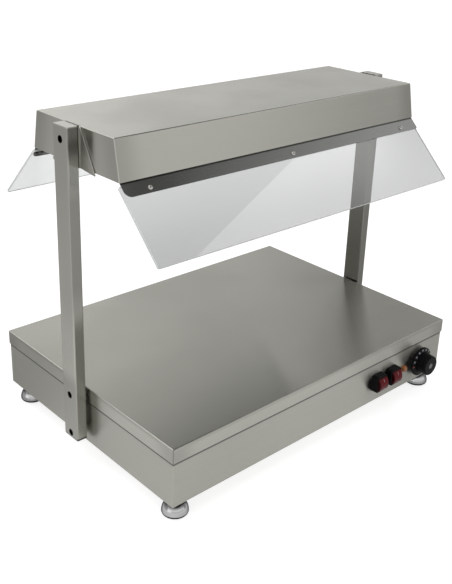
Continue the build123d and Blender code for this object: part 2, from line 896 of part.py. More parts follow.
def stud_places():
    return [(x, y) for x in row(3, clamp_pitch) for y in (-stud_spread, stud_spread)]


def element_clamps():
    bars = []
    for x in row(3, clamp_pitch):
        bar = Pos(x, 0, clamp_top() - clamp_thickness) * Box(clamp_width, clamp_length, clamp_thickness, align=on_floor)
        for y in (-stud_spread, stud_spread):
            bar -= Pos(x, y, 0) * disc(stud_radius + stud_clearance, lid_top)
        bars.append(bar)
    return group(bars)


def nut_under():
    return clamp_top() - clamp_thickness - stud_nut_height


def element_studs():
    low = nut_under() - slab_thickness - slab_washer_height - stud_tail
    return group([Pos(x, y, low) * disc(stud_radius, plate_under - low) for x, y in stud_places()])


def element_nuts():
    nut = plain_nut(stud_nut_flats, stud_nut_height, stud_radius + thread_clearance)
    return group([Pos(x, y, nut_under()) * nut for x, y in stud_places()])


def insulation_slab():
    board = slab(slab_length, slab_depth, nut_under() - slab_thickness, nut_under())
    for x, y in stud_places():
        board -= Pos(x, y, 0) * disc(stud_radius + stud_clearance, lid_top)
    return board


def insulation_washers():
    low = nut_under() - slab_thickness - slab_washer_height
    ring = disc(slab_washer_radius, slab_washer_height) - disc(stud_radius + thread_clearance, 5)
    return group([Pos(x, y, low) * ring for x, y in stud_places()])


# Switches: a moulded collar with its body behind the panel, and a rocker on two trunnions.
# Local z runs outwards from the panel and local y upwards.


def switch_housing(x):
    foot_outline = RectangleRounded(switch_width, switch_tall, switch_corner)
    collar = extrude(foot_outline, switch_collar, taper=switch_draft)
    collar = fillet(collar.faces().sort_by(Axis.Z)[-1].edges(), switch_edge)
    body = Pos(0, 0, -switch_body_depth) * Box(switch_body_width, switch_body_tall, switch_body_depth, align=on_floor)
    opening_width = rocker_width + 2 * rocker_side_gap
    opening_tall = 2 * (rocker_radius + rocker_end_gap)
    opening = Pos(0, 0, switch_pocket_floor) * Box(opening_width, opening_tall, switch_collar, align=on_floor)
    reach = opening_width + 2 * (trunnion_length + 0.2)
    bearing = Pos(0, 0, rocker_pivot) * Rot(0, 90, 0) * Cylinder(trunnion_radius + trunnion_clearance, reach)
    housing = collar + body - opening - bearing
    for side in (-1, 1):
        blade = Pos(0, side * 8, -switch_body_depth - 8) * Box(0.8, 6.3, 8, align=on_floor)
        housing += blade
    return front_at(x, control_z) * housing


def rocker(x):
    # The ends are arcs about the pivot, so that the gap to the collar stays the same as it tips.
    half = sqrt(rocker_radius ** 2 - rocker_front ** 2)
    base_half = sqrt(rocker_radius ** 2 - rocker_back ** 2)
    low = -rocker_back
    outline = [
        ThreePointArc((half, rocker_front), (0, rocker_front + rocker_crown), (-half, rocker_front)),
        ThreePointArc((-half, rocker_front), (-rocker_radius, 0), (-base_half, low)),
        Line((-base_half, low), (base_half, low)),
        ThreePointArc((base_half, low), (rocker_radius, 0), (half, rocker_front)),
    ]
    section = make_face(Plane.YZ * Wire(outline))
    body = both_ways(section, rocker_width)
    rim = body.edges().filter_by(lambda edge: edge.center().Z > rocker_back)
    body = fillet(rim, rocker_edge)
    body += Rot(0, 90, 0) * Cylinder(trunnion_radius, rocker_width + 2 * (rocker_side_gap + trunnion_length))
    tipped = Pos(0, 0, rocker_pivot) * Rot(-rocker_tilt, 0, 0) * body
    return front_at(x, control_z) * tipped


# Pilot lamp


def pilot_lens():
    flange = disc(pilot_flange_radius, pilot_flange)
    dome = disc(pilot_radius, pilot_reach)
    dome = fillet(dome.faces().sort_by(Axis.Z)[-1].edges(), pilot_radius * 0.6)
    stem = disc(pilot_radius, pilot_stem, -pilot_stem)
    return front_at(pilot_x, control_z - pilot_drop) * (flange + dome + stem)


def pilot_body():
    barrel = disc(pilot_body_radius, pilot_body_length, -pilot_stem - pilot_body_length)
    return front_at(pilot_x, control_z - pilot_drop) * barrel


def pilot_nut():
    nut = plain_nut(pilot_nut_flats, pilot_stem - sheet, pilot_radius + thread_clearance)
    return front_at(pilot_x, control_z - pilot_drop) * Pos(0, 0, -pilot_stem) * nut


# Thermostat: body behind the panel, shaft, knob, and the sensing bulb under the plate


def thermostat_knob():
    cone_top = knob_gap + knob_cone_height
    grip_top = knob_grip_radius - knob_grip_taper
    outline = Polyline((0, knob_gap), (knob_radius, knob_gap), (knob_radius, knob_gap + knob_rim),
                       (knob_cone_radius, cone_top), (knob_grip_radius, cone_top), (grip_top, knob_reach),
                       (0, knob_reach), close=True)
    knob = revolve(make_face(Plane.XZ * outline), Axis.Z)
    rim = knob.edges().filter_by(GeomType.CIRCLE).filter_by(lambda edge: edge.radius > grip_top - 0.01)
    knob = fillet(rim.sort_by(Axis.Z)[-1], knob_edge)
    groove = disc(knob_flute_radius, knob_reach, cone_top + 1)
    for step in range(knob_flutes):
        knob -= Rot(0, 0, step * 360 / knob_flutes) * Pos(knob_grip_radius + 0.5 * knob_flute_radius, 0, 0) * groove
    recess = disc(knob_recess_radius, knob_recess_depth, knob_gap) - disc(knob_hub_radius, knob_recess_depth, knob_gap)
    bore = disc(shaft_radius + knob_press, knob_bore_depth, knob_gap)
    ball = (knob_dish_radius ** 2 + knob_dish_depth ** 2) / (2 * knob_dish_depth)
    dish = Pos(0, 0, knob_reach - knob_dish_depth + ball) * Sphere(ball)
    return front_at(knob_x, control_z) * (knob - recess - bore - dish)


def thermostat_shaft():
    low = -sheet - thermostat_bore_depth + shaft_end_gap
    high = knob_gap + knob_bore_depth - shaft_end_gap
    return front_at(knob_x, control_z) * disc(shaft_radius, high - low, low)


def thermostat_body():
    box = Pos(0, 0, -sheet - thermostat_deep) * Box(thermostat_width, thermostat_tall, thermostat_deep, align=on_floor)
    box = fillet(box.edges().filter_by(Axis.Z), 3)
    box += disc(thermostat_bush_radius, sheet + thermostat_bush_reach, -sheet)
    box -= disc(shaft_radius + shaft_clearance, 2 * thermostat_bore_depth, -sheet - thermostat_bore_depth)
    for side in (-1, 1):
        hole = disc(thermostat_screw_radius + thread_clearance, 20, -sheet - thermostat_screw_length - 1)
        box -= Pos(side * thermostat_screw_spread, 0, 0) * hole
    return front_at(knob_x, control_z) * box


def thermostat_screws():
    screws = []
    for side in (-1, 1):
        head = disc(thermostat_head_radius, thermostat_head_height)
        head = fillet(head.faces().sort_by(Axis.Z)[-1].edges(), thermostat_head_height * 0.6)
        shank = disc(thermostat_screw_radius, sheet + thermostat_screw_length, -sheet - thermostat_screw_length)
        screws.append(front_at(knob_x + side * thermostat_screw_spread, control_z) * (head + shank))
    return group(screws)


def thermostat_capillary():
    back = skirt_front + sheet + thermostat_deep
    bulb_z = plate_under - bulb_gap - bulb_radius
    y = back + capillary_back
    bulb_start = knob_x - capillary_lead
    route = FilletPolyline((knob_x, back, control_z), (knob_x, y, control_z), (knob_x, y, bulb_z),
                           (bulb_start, y, bulb_z), radius=capillary_bend)
    tube = sweep(Plane(origin=(knob_x, back, control_z), z_dir=(0, 1, 0)) * Circle(capillary_radius), route)
    bulb = disc(bulb_radius, bulb_length)
    bulb = fillet(bulb.faces().filter_by(GeomType.PLANE).edges(), 1.0)
    return tube + Pos(bulb_start + 1, y, bulb_z) * Rot(0, -90, 0) * bulb


# Supply inlet and terminals


def gland_body():
    hexed = hexagon(gland_flats, gland_hex_height)
    neck = disc(gland_neck_radius, gland_neck_length, gland_hex_height)
    thread = disc(gland_thread_radius, gland_thread_length, -gland_thread_length)
    return rear_at(gland_x, control_z) * (hexed + neck + thread - disc(gland_bore_radius, 100, -50))


def gland_cap():
    cap = disc(gland_cap_radius, gland_cap_height, gland_hex_height)
    cap = fillet(cap.faces().sort_by(Axis.Z)[-1].edges(), 4)
    cap -= disc(gland_neck_radius + gland_cap_clearance, gland_neck_length + 1, gland_hex_height)
    return rear_at(gland_x, control_z) * (cap - disc(gland_bore_radius, 100, -50))


def gland_locknut():
    nut = plain_nut(gland_locknut_flats, gland_locknut_height, gland_thread_radius + thread_clearance)
    return rear_at(gland_x, control_z) * Pos(0, 0, -sheet - gland_locknut_height) * nut


def terminal_block():
    length = terminal_pitch * terminal_ways + 4
    block = Pos(terminal_x, terminal_y, foot_height) * Box(length, terminal_depth, terminal_tall, align=on_floor)
    block = fillet(block.edges().filter_by(Axis.Z), 2)
    top = foot_height + terminal_tall
    for x in row(terminal_ways, terminal_pitch):
        for way in (-1, 1):
            screw = disc(terminal_screw_radius, terminal_screw_depth + 1, top - terminal_screw_depth)
            block -= Pos(terminal_x + x, terminal_y + way * terminal_depth / 4, 0) * screw
        wire = Rot(90, 0, 0) * Cylinder(terminal_wire_radius, 2 * terminal_depth)
        block -= Pos(terminal_x + x, terminal_y, foot_height + terminal_tall * 0.45) * wire
    return block


pieces = {
    "top_plate": top_plate(),
    "base_skirt": base_skirt(),
    "bottom_plate": bottom_plate(),
    "bottom_screws": bottom_screws(),
    "foot_front_left": foot(-foot_x, -foot_y),
    "foot_front_right": foot(foot_x, -foot_y),
    "foot_rear_left": foot(-foot_x, foot_y),
    "foot_rear_right": foot(foot_x, foot_y),
    "foot_plates": foot_plates(),
    "foot_nuts": foot_nuts(),
    "post_left": post(-1),
    "post_right": post(1),
    "post_top_caps": post_top_caps(),
    "post_foot_caps": post_foot_caps(),
    "post_bolts": post_bolts(),
    "post_nuts": post_nuts(),
    "post_spacers": post_spacers(),
    "head_bolts": head_bolts(),
    "head_nuts": head_nuts(),
    "gusset_left": gusset(-1),
    "gusset_right": gusset(1),
    "gusset_screws": gusset_screws(),
    "canopy": canopy(),
    "shield_rail_front": shield_rail(),
    "shield_rail_rear": rear_of(shield_rail()),
    "shield_front": shield(),
    "shield_rear": rear_of(shield()),
    "shield_screws": front_and_rear(shield_screw()),
    "shield_washers": shield_washers(),
    "shield_nuts": shield_nuts(),
    "reflector": reflector(),
    "reflector_standoffs": reflector_standoffs(),
    "lamp_left": lamp(-1),
    "lamp_right": lamp(1),
    "lamp_holders": lamp_holders(),
    "lamp_guard": lamp_guard(),
    "lamp_cable": lamp_cable(),
    "wire_bushes": wire_bushes(),
    "plate_element": plate_element(),
    "element_clamps": element_clamps(),
    "element_studs": element_studs(),
    "element_nuts": element_nuts(),
    "insulation_slab": insulation_slab(),
    "insulation_washers": insulation_washers(),
    "switch_housing_plate": switch_housing(switch_plate_x),
    "switch_housing_lamps": switch_housing(switch_lamps_x),
    "rocker_plate": rocker(switch_plate_x),
    "rocker_lamps": rocker(switch_lamps_x),
    "pilot_lens": pilot_lens(),
    "pilot_body": pilot_body(),
    "pilot_nut": pilot_nut(),
    "thermostat_knob": thermostat_knob(),
    "thermostat_shaft": thermostat_shaft(),
    "thermostat_body": thermostat_body(),
    "thermostat_screws": thermostat_screws(),
    "thermostat_capillary": thermostat_capillary(),
    "gland_body": gland_body(),
    "gland_cap": gland_cap(),
    "gland_locknut": gland_locknut(),
    "terminal_block": terminal_block(),
}

os.makedirs("parts", exist_ok=True)
for node, shape in pieces.items():
    export_step(Pos(0, frame_shift, 0) * shape, f"parts/{node}.step")
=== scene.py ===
import math
from functools import partial

import bmesh
import bpy
from bpy.props import FloatProperty, FloatVectorProperty, PointerProperty
from mathutils import Matrix, Quaternion, Vector
from mathutils.bvhtree import BVHTree


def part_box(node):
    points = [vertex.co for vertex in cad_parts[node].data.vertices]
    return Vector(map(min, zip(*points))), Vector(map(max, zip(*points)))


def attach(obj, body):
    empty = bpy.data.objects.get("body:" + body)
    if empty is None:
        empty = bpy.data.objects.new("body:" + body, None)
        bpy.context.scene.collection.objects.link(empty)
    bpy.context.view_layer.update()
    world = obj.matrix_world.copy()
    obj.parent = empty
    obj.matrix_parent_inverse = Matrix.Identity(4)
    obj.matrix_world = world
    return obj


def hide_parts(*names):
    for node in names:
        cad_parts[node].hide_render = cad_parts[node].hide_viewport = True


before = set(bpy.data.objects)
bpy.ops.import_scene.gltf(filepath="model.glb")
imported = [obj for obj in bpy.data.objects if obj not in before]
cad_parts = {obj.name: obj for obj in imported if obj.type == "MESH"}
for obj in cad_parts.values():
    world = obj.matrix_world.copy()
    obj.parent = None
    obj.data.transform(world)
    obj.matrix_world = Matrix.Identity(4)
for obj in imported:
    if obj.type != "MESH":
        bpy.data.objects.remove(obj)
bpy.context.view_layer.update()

bl_info = {
    "name": "Food warmer with gantry",
    "version": (1, 0, 0),
    "blender": (4, 5, 0),
    "location": "View3D > Sidebar > Warmer",
    "description": "Finishes and fittings of a heated serving plate with a lamp canopy",
    "category": "Object",
}

knob_low, knob_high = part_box("thermostat_knob")
lid_low, lid_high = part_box("top_plate")
canopy_low, canopy_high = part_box("canopy")
panel_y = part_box("base_skirt")[0].y
knob_centre = Vector(((knob_low.x + knob_high.x) / 2, panel_y, (knob_low.z + knob_high.z) / 2))
middle_y = (lid_high.y + lid_low.y) / 2
half_length = (lid_high.x - lid_low.x) / 2
# The canopy's long sides lean in by this much for each unit of height.
canopy_lean = 0.19
# The ends of the sloping edge of a gusset's wing: distance from the middle, and height.
wing_foot = (0.0585, 0.5327)
wing_head = (0.0200, 0.6002)


# Sizes and colours


class WarmerFinish(bpy.types.PropertyGroup):
    sheet_colour: FloatVectorProperty(
        name="Sheet colour", description="Colour of the brushed stainless sheet",
        default=(0.395, 0.391, 0.355), subtype="COLOR", min=0.0, max=1.0)
    sheet_roughness: FloatProperty(
        name="Sheet roughness", description="Mean roughness of the brushed stainless sheet",
        default=0.24, min=0.0, max=1.0, subtype="FACTOR")
    grain_length: FloatProperty(
        name="Grain length", description="Length of the brush lines in the sheet",
        default=1.2, min=0.01, unit="LENGTH")
    grain_width: FloatProperty(
        name="Grain width", description="Width of the brush lines in the sheet",
        default=0.0009, min=0.0001, unit="LENGTH")
    grain_depth: FloatProperty(
        name="Grain depth", description="Depth of the brush lines in the sheet",
        default=0.00002, min=0.0, unit="LENGTH")
    chrome_colour: FloatVectorProperty(
        name="Chrome colour", description="Colour of the plated feet",
        default=(0.47, 0.47, 0.48), subtype="COLOR", min=0.0, max=1.0)
    fastener_colour: FloatVectorProperty(
        name="Fastener colour", description="Colour of screws, bolts and nuts",
        default=(0.68, 0.67, 0.64), subtype="COLOR", min=0.0, max=1.0)
    # The rails are the same steel as the sheet, darkened: painted shade.
    rail_colour: FloatVectorProperty(
        name="Rail colour", description="Colour of the dull rails that hold the shields",
        default=(0.149, 0.150, 0.146), subtype="COLOR", min=0.0, max=1.0)
    shield_colour: FloatVectorProperty(
        name="Shield colour", description="Tint of the clear sloping shields",
        default=(0.495, 0.503, 0.502), subtype="COLOR", min=0.0, max=1.0)
    edge_colour: FloatVectorProperty(
        name="Edge colour", description="Colour of the shields' sawn edges",
        default=(0.74, 0.77, 0.76), subtype="COLOR", min=0.0, max=1.0)
    moulding_colour: FloatVectorProperty(
        name="Moulding colour", description="Colour of the black mouldings",
        default=(0.0045, 0.0045, 0.0055), subtype="COLOR", min=0.0, max=1.0)
    rocker_colour: FloatVectorProperty(
        name="Rocker colour", description="Colour of the rocker keys",
        default=(0.11, 0.004, 0.008), subtype="COLOR", min=0.0, max=1.0)
    lens_colour: FloatVectorProperty(
        name="Lens colour", description="Colour of the pilot lamp's lens",
        default=(0.31, 0.11, 0.035), subtype="COLOR", min=0.0, max=1.0)
    mark_colour: FloatVectorProperty(
        name="Mark colour", description="Colour of the printed dial marks",
        default=(0.35, 0.36, 0.375), subtype="COLOR", min=0.0, max=1.0)
    print_colour: FloatVectorProperty(
        name="Print colour", description="Colour of the marks on the rocker keys",
        default=(0.32, 0.2, 0.2), subtype="COLOR", min=0.0, max=1.0)
    zero_colour: FloatVectorProperty(
        name="Zero colour", description="Colour of the printed zero on the dial",
        default=(0.55, 0.10, 0.09), subtype="COLOR", min=0.0, max=1.0)


class WarmerScrew(bpy.types.PropertyGroup):
    head_radius: FloatProperty(
        name="Head radius", description="Radius of the shield screws' heads", default=0.0042, unit="LENGTH")
    head_height: FloatProperty(
        name="Head height", description="Height of the shield screws' heads", default=0.0026, unit="LENGTH")
    shank_radius: FloatProperty(
        name="Shank radius", description="Radius of the shield screws' shanks",
        default=0.0020, unit="LENGTH")
    shank_length: FloatProperty(
        name="Shank length", description="Length of the shield screws' shanks",
        default=0.0094, unit="LENGTH")
    recess_length: FloatProperty(
        name="Recess length", description="Length of the cross recess in a head",
        default=0.0046, unit="LENGTH")
    recess_width: FloatProperty(
        name="Recess width", description="Width of the cross recess in a head",
        default=0.0009, unit="LENGTH")
    recess_depth: FloatProperty(
        name="Recess depth", description="Depth of the cross recess in a head",
        default=0.0014, unit="LENGTH")


class WarmerDial(bpy.types.PropertyGroup):
    rim_radius: FloatProperty(
        name="Rim radius", description="Outer radius of the knob's skirt", default=0.0295, unit="LENGTH")
    rim_height: FloatProperty(
        name="Rim height", description="Distance of the rim's front edge from the panel",
        default=0.0100, unit="LENGTH")
    inner_radius: FloatProperty(
        name="Inner radius", description="Radius where the knob's skirt meets its grip",
        default=0.0216, unit="LENGTH")
    inner_height: FloatProperty(
        name="Inner height", description="Distance of that place from the panel",
        default=0.0125, unit="LENGTH")
    number_height: FloatProperty(
        name="Number height", description="Height of the printed numbers", default=0.0036, unit="LENGTH")
    first_angle: FloatProperty(
        name="First angle", description="Place of the zero, clockwise from the top",
        default=math.radians(-98.0), subtype="ANGLE")
    number_step: FloatProperty(
        name="Number step", description="Angle from one number to the next",
        default=math.radians(24.0), subtype="ANGLE")
    mark_lift: FloatProperty(
        name="Mark lift", description="Height of the print above the knob and the rocker keys",
        default=0.00008, unit="LENGTH")


class WarmerStage(bpy.types.PropertyGroup):
    camera_place: FloatVectorProperty(
        name="Camera place", description="Where the camera stands",
        default=(-1.05807, -1.10848, 0.93676), subtype="XYZ", unit="LENGTH")
    camera_turn: FloatProperty(
        name="Camera turn", description="Turn of the camera about the upright axis",
        default=math.radians(-42.929), subtype="ANGLE")
    camera_dip: FloatProperty(
        name="Camera dip", description="How far the camera looks down",
        default=math.radians(-21.49), subtype="ANGLE")
    camera_roll: FloatProperty(
        name="Camera roll", description="Roll of the camera", default=math.radians(2.012), subtype="ANGLE")
    camera_lens: FloatProperty(
        name="Camera lens", description="Focal length in millimetres on a 36 mm sensor",
        default=54.06, min=1.0)
    shift_x: FloatProperty(
        name="Shift across", description="Sideways shift of the lens", default=-0.0022)
    shift_y: FloatProperty(
        name="Shift up", description="Upward shift of the lens", default=-0.09646)
    horizon_level: FloatProperty(
        name="Horizon level", description="Brightness of the studio near the horizon",
        default=1.55, min=0.0)
    wall_level: FloatProperty(
        name="Wall level", description="Brightness of the studio half-way up", default=0.95, min=0.0)
    ceiling_level: FloatProperty(
        name="Ceiling level", description="Brightness of the studio overhead", default=0.11, min=0.0)
    top_power: FloatProperty(
        name="Top light", description="Power of the soft box overhead in watts", default=30.0, min=0.0)
    side_power: FloatProperty(
        name="Side light", description="Power of the soft box in front and to the right in watts",
        default=4.9, min=0.0)
    back_level: FloatProperty(
        name="Back level", description="Brightness of the studio behind and to the left",
        default=1.7, min=0.0)
    dim_level: FloatProperty(
        name="Dim level", description="Brightness of the studio low down behind and to the left",
        default=0.6, min=0.0)
    floor_level: FloatProperty(
        name="Floor level", description="Light that the pale floor gives by itself to the camera",
        default=0.76, min=0.0)
    floor_gloss: FloatProperty(
        name="Floor in gloss", description="Share of that light which shows in metal",
        default=0.8, min=0.0, max=1.0)


# Small helpers for node trees


def plug(tree, value, place):
    if isinstance(value, bpy.types.NodeSocket):
        tree.links.new(value, place)
    else:
        place.default_value = value


def add(tree, kind, inputs=None, **settings):
    made = tree.nodes.new(kind)
    for key, value in settings.items():
        setattr(made, key, value)
    for key, value in (inputs or {}).items():
        plug(tree, value, made.inputs[key])
    return made


def calc(tree, operation, *values, kind="ShaderNodeMath"):
    made = add(tree, kind, operation=operation)
    for place, value in zip(made.inputs, values):
        plug(tree, value, place)
    return made.outputs[0]


def vector_calc(tree, operation, *values):
    return calc(tree, operation, *values, kind="ShaderNodeVectorMath")


def product(tree, first, *others):
    for other in others:
        first = calc(tree, "MULTIPLY", first, other)
    return first


def off_centre(tree, value, centre):
    return calc(tree, "ABSOLUTE", calc(tree, "SUBTRACT", value, centre))


def split(tree, vector):
    return add(tree, "ShaderNodeSeparateXYZ", {0: vector}).outputs


def combine(tree, across=0.0, ahead=0.0, height=0.0):
    return add(tree, "ShaderNodeCombineXYZ", {0: across, 1: ahead, 2: height}).outputs[0]


def noise(tree, place, scale, detail, roughness=0.5):
    made = add(tree, "ShaderNodeTexNoise",
               {"Vector": place, "Scale": scale, "Detail": detail, "Roughness": roughness})
    return made.outputs[0]


def between(tree, value, low, high):
    made = add(tree, "ShaderNodeMapRange", {"Value": value, "To Min": low, "To Max": high})
    return made.outputs["Result"]


def step_up(tree, value, low, high):
    made = add(tree, "ShaderNodeMapRange", {"Value": value, "From Min": low, "From Max": high},
               interpolation_type="SMOOTHSTEP")
    return made.outputs["Result"]


def blend_colour(tree, factor, first, second):
    colours = [value if isinstance(value, bpy.types.NodeSocket) else (*value, 1.0)
               for value in (first, second)]
    made = add(tree, "ShaderNodeMix", {0: factor}, data_type="RGBA")
    for index, value in zip((6, 7), colours):
        plug(tree, value, made.inputs[index])
    return made.outputs[2]


def blend_vector(tree, factor, first, second):
    made = add(tree, "ShaderNodeMix", {0: factor, 4: first, 5: second}, data_type="VECTOR")
    return made.outputs[1]


def shade(colour, factor):
    return tuple(min(1.0, channel * factor) for channel in colour)


def group_tree(name, kind, inputs, outputs):
    tree = bpy.data.node_groups.new(name, kind)
    for label, socket_type, default in inputs:
        socket = tree.interface.new_socket(name=label, in_out="INPUT", socket_type=socket_type)
        if default is not None:
            socket.default_value = default
    for label, socket_type in outputs:
        tree.interface.new_socket(name=label, in_out="OUTPUT", socket_type=socket_type)
    start = tree.nodes.new("NodeGroupInput")
    end = tree.nodes.new("NodeGroupOutput")
    return tree, start.outputs, end.inputs


def shared(build):
    return bpy.data.node_groups.get(build.__name__) or build(build.__name__)


def use_group(tree, build, **values):
    made = add(tree, "ShaderNodeGroup", node_tree=shared(build))
    for label, value in values.items():
        plug(tree, value, made.inputs[label.replace("_", " ")])
    return made.outputs


# Small helpers for meshes and pieces


def mesh_object(name, mesh):
    made = bpy.data.objects.new(name, mesh)
    bpy.context.scene.collection.objects.link(made)
    return made


def merged(node):
    # A copy of a node's mesh with its loose corners joined.
    bm = bmesh.new()
    bm.from_mesh(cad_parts[node].data)
    bmesh.ops.remove_doubles(bm, verts=bm.verts, dist=1e-6)
    return bm


def as_mesh(name, bm):
    made = bpy.data.meshes.new(name)
    bm.to_mesh(made)
    bm.free()
    return made


def evaluated_mesh(holder):
    bpy.context.view_layer.update()
    depsgraph = bpy.context.evaluated_depsgraph_get()
    return bpy.data.meshes.new_from_object(holder.evaluated_get(depsgraph))


def smooth(mesh, degrees):
    mesh.shade_smooth()
    mesh.set_sharp_from_angle(angle=math.radians(degrees))


def face_front(bm):
    # Print on the front panel looks outwards, against Y.
    bmesh.ops.recalc_face_normals(bm, faces=bm.faces)
    for face in bm.faces:
        if face.normal.y > 0.0:
            face.normal_flip()


def dress(material, *names):
    for name in names:
        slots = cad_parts[name].data.materials
        slots.clear()
        slots.append(material)


def settle(piece, body, slot, *nodes):
    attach(piece, body)
    if nodes:
        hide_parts(*nodes)


# Shared shader groups


def on_ends(tree, facing):
    # One on the faces that look along X.
    squarely = 0.7
    return calc(tree, "GREATER_THAN", calc(tree, "ABSOLUTE", split(tree, facing)[0]), squarely)


def brushed_grain(name):
    # Long fine streaks; faces that look along X get the second grain.
    tree, given, result = group_tree(
        name, "ShaderNodeTree",
        [("Position", "NodeSocketVector", None), ("Facing", "NodeSocketVector", None),
         ("Grain", "NodeSocketVector", (4.0, 900.0, 900.0)),
         ("End Grain", "NodeSocketVector", (900.0, 4.0, 900.0))],
        [("Tone", "NodeSocketFloat"), ("Height", "NodeSocketFloat")])
    grain = blend_vector(tree, on_ends(tree, given["Facing"]), given["Grain"], given["End Grain"])
    place = vector_calc(tree, "MULTIPLY", given["Position"], grain)
    fine = noise(tree, place, 1.0, 3.0, 0.6)
    wide = noise(tree, place, 0.16, 2.0)
    fine_share, wide_share = 0.8, 0.2
    tone = calc(tree, "ADD", product(tree, fine, fine_share), product(tree, wide, wide_share))
    plug(tree, tone, result["Tone"])
    plug(tree, fine, result["Height"])
    return tree


def worn_folds(name):
    # The rounded top folds: painted highlight on those at the ends, painted shade on those along the sides.
    tree, given, result = group_tree(
        name, "ShaderNodeTree", [("Facing", "NodeSocketVector", None)],
        [("Ends", "NodeSocketFloat"), ("Sides", "NodeSocketFloat")])
    facing = split(tree, given["Facing"])
    above = calc(tree, "MAXIMUM", facing[2], 0.0)
    slope_start, slope_full = 0.2, 0.42
    for label, axis in (("Ends", 0), ("Sides", 1)):
        slope = product(tree, calc(tree, "ABSOLUTE", facing[axis]), above)
        plug(tree, step_up(tree, slope, slope_start, slope_full), result[label])
    return tree


def handling_marks(name):
    # Broad, faint patches where the sheet was wiped.
    tree, given, result = group_tree(
        name, "ShaderNodeTree",
        [("Position", "NodeSocketVector", None), ("Size", "NodeSocketFloat", 7.0)],
        [("Mask", "NodeSocketFloat")])
    broad = noise(tree, given["Position"], given["Size"], 4.0, 0.55)
    faint, full = 0.35, 0.7
    plug(tree, step_up(tree, broad, faint, full), result["Mask"])
    return tree


def moulded_skin(name):
    # The fine sparkle of a spark-eroded mould.
    tree, given, result = group_tree(
        name, "ShaderNodeTree",
        [("Position", "NodeSocketVector", None), ("Pitch", "NodeSocketFloat", 1800.0)],
        [("Tone", "NodeSocketFloat"), ("Height", "NodeSocketFloat")])
    cloud_scale = 60.0
    plug(tree, noise(tree, given["Position"], cloud_scale, 2.0), result["Tone"])
    plug(tree, noise(tree, given["Position"], given["Pitch"], 2.0), result["Height"])
    return tree


# Masks, each of which finds one place on a piece


def face_normal(tree):
    return add(tree, "ShaderNodeNewGeometry").outputs["Normal"]


def turned_to(tree, axis, low, high):
    # Steps up as a face turns towards an axis, either way along it.
    return step_up(tree, calc(tree, "ABSOLUTE", split(tree, face_normal(tree))[axis]), low, high)


def upright_faces(tree):
    # One on the upright faces of a folded sheet, nought on its top.
    return turned_to(tree, 2, 0.7, 0.4)


def just_below(tree, place, level, depth):
    # A narrow band of painted shadow under an edge.
    return step_up(tree, split(tree, place)[2], level - 1.25 * depth, level - 0.85 * depth)


def under_fold(tree, place, level, depth):
    # Painted shade on the sides close to the top fold, where they begin to bend away.
    band = step_up(tree, split(tree, place)[2], level - depth, level - 0.35 * depth)
    return product(tree, band, upright_faces(tree))


def from_corner(tree, place, to_end, to_side, lean=0.0, level=0.0):
    # How far a point lies inside the ends and inside the long sides, which may lean.
    spot = split(tree, place)
    along = calc(tree, "SUBTRACT", to_end, calc(tree, "ABSOLUTE", spot[0]))
    side = calc(tree, "SUBTRACT", to_side, product(tree, calc(tree, "SUBTRACT", spot[2], level), lean))
    return along, calc(tree, "SUBTRACT", side, off_centre(tree, spot[1], middle_y))


def ground_corner(tree, place, sizes, reach):
    # Painted shade: towards a corner the sides are darker.
    near = calc(tree, "MAXIMUM", *from_corner(tree, place, *sizes))
    return product(tree, step_up(tree, near, reach, 0.1 * reach), upright_faces(tree))


def corner_line(tree, place, sizes, width):
    # The upright seam at each corner of the lid.
    along, out = from_corner(tree, place, *sizes)
    skin = 0.003
    line = step_up(tree, off_centre(tree, along, out), width, 0.3 * width)
    return product(tree, line, calc(tree, "LESS_THAN", calc(tree, "MAXIMUM", along, out), skin))


def corner_weld(tree, place, sizes, width):
    # A painted highlight along each upright corner of the canopy.
    near = calc(tree, "MAXIMUM", *from_corner(tree, place, *sizes))
    return step_up(tree, near, width, 0.6 * width)


def wing_gap(tree, place):
    # Painted shadow on a canopy end, in the gap behind the sloping edge of a gusset's wing.
    spot = split(tree, place)
    slope = Vector((wing_head[1] - wing_foot[1], wing_foot[0] - wing_head[0])).normalized()
    run = calc(tree, "SUBTRACT", off_centre(tree, spot[1], middle_y), wing_head[0])
    rise = calc(tree, "SUBTRACT", spot[2], wing_head[1])
    aside = calc(tree, "ADD", product(tree, run, slope.x), product(tree, rise, slope.y))
    inner, outer, blur, skin = -0.0022, 0.0036, 0.0010, 0.0004
    strip = product(tree, step_up(tree, aside, inner, inner + blur),
                    step_up(tree, aside, outer, outer - blur))
    end = calc(tree, "GREATER_THAN", calc(tree, "ABSOLUTE", spot[0]), canopy_high.x - skin)
    return product(tree, strip, end, calc(tree, "GREATER_THAN", spot[2], wing_foot[1]))


def cut_edge(tree, _):
    # A painted highlight on the sheared edges that slope along a gusset's wing.
    slope, margin = 0.5, 0.04
    rise = split(tree, add(tree, "ShaderNodeNewGeometry").outputs["True Normal"])[2]
    return calc(tree, "COMPARE", rise, slope, margin)


def post_polish(tree, place, axis, low, high):
    # Painted light and shade on one pair of a post's sides, which changes between two heights.
    return product(tree, step_up(tree, split(tree, place)[2], low, high), turned_to(tree, axis, 0.5, 0.9))


def post_back(tree, place, level):
    # Painted light: the side of a post that lies against the base is much lighter.
    spot = split(tree, place)
    squarely, blur = 0.7, 0.004
    outward = product(tree, split(tree, face_normal(tree))[0], calc(tree, "SIGN", spot[0]))
    inward = calc(tree, "LESS_THAN", outward, -squarely)
    return product(tree, inward, step_up(tree, spot[2], level, level - blur))


def post_toe(tree, place, level):
    # Darker along the lower edge on the narrow sides of a post.
    squarely, start, full = 0.6, 0.0030, 0.0012
    facing = calc(tree, "ABSOLUTE", split(tree, face_normal(tree))[1])
    narrow = calc(tree, "GREATER_THAN", facing, squarely)
    return product(tree, narrow, step_up(tree, split(tree, place)[2], level + start, level + full))


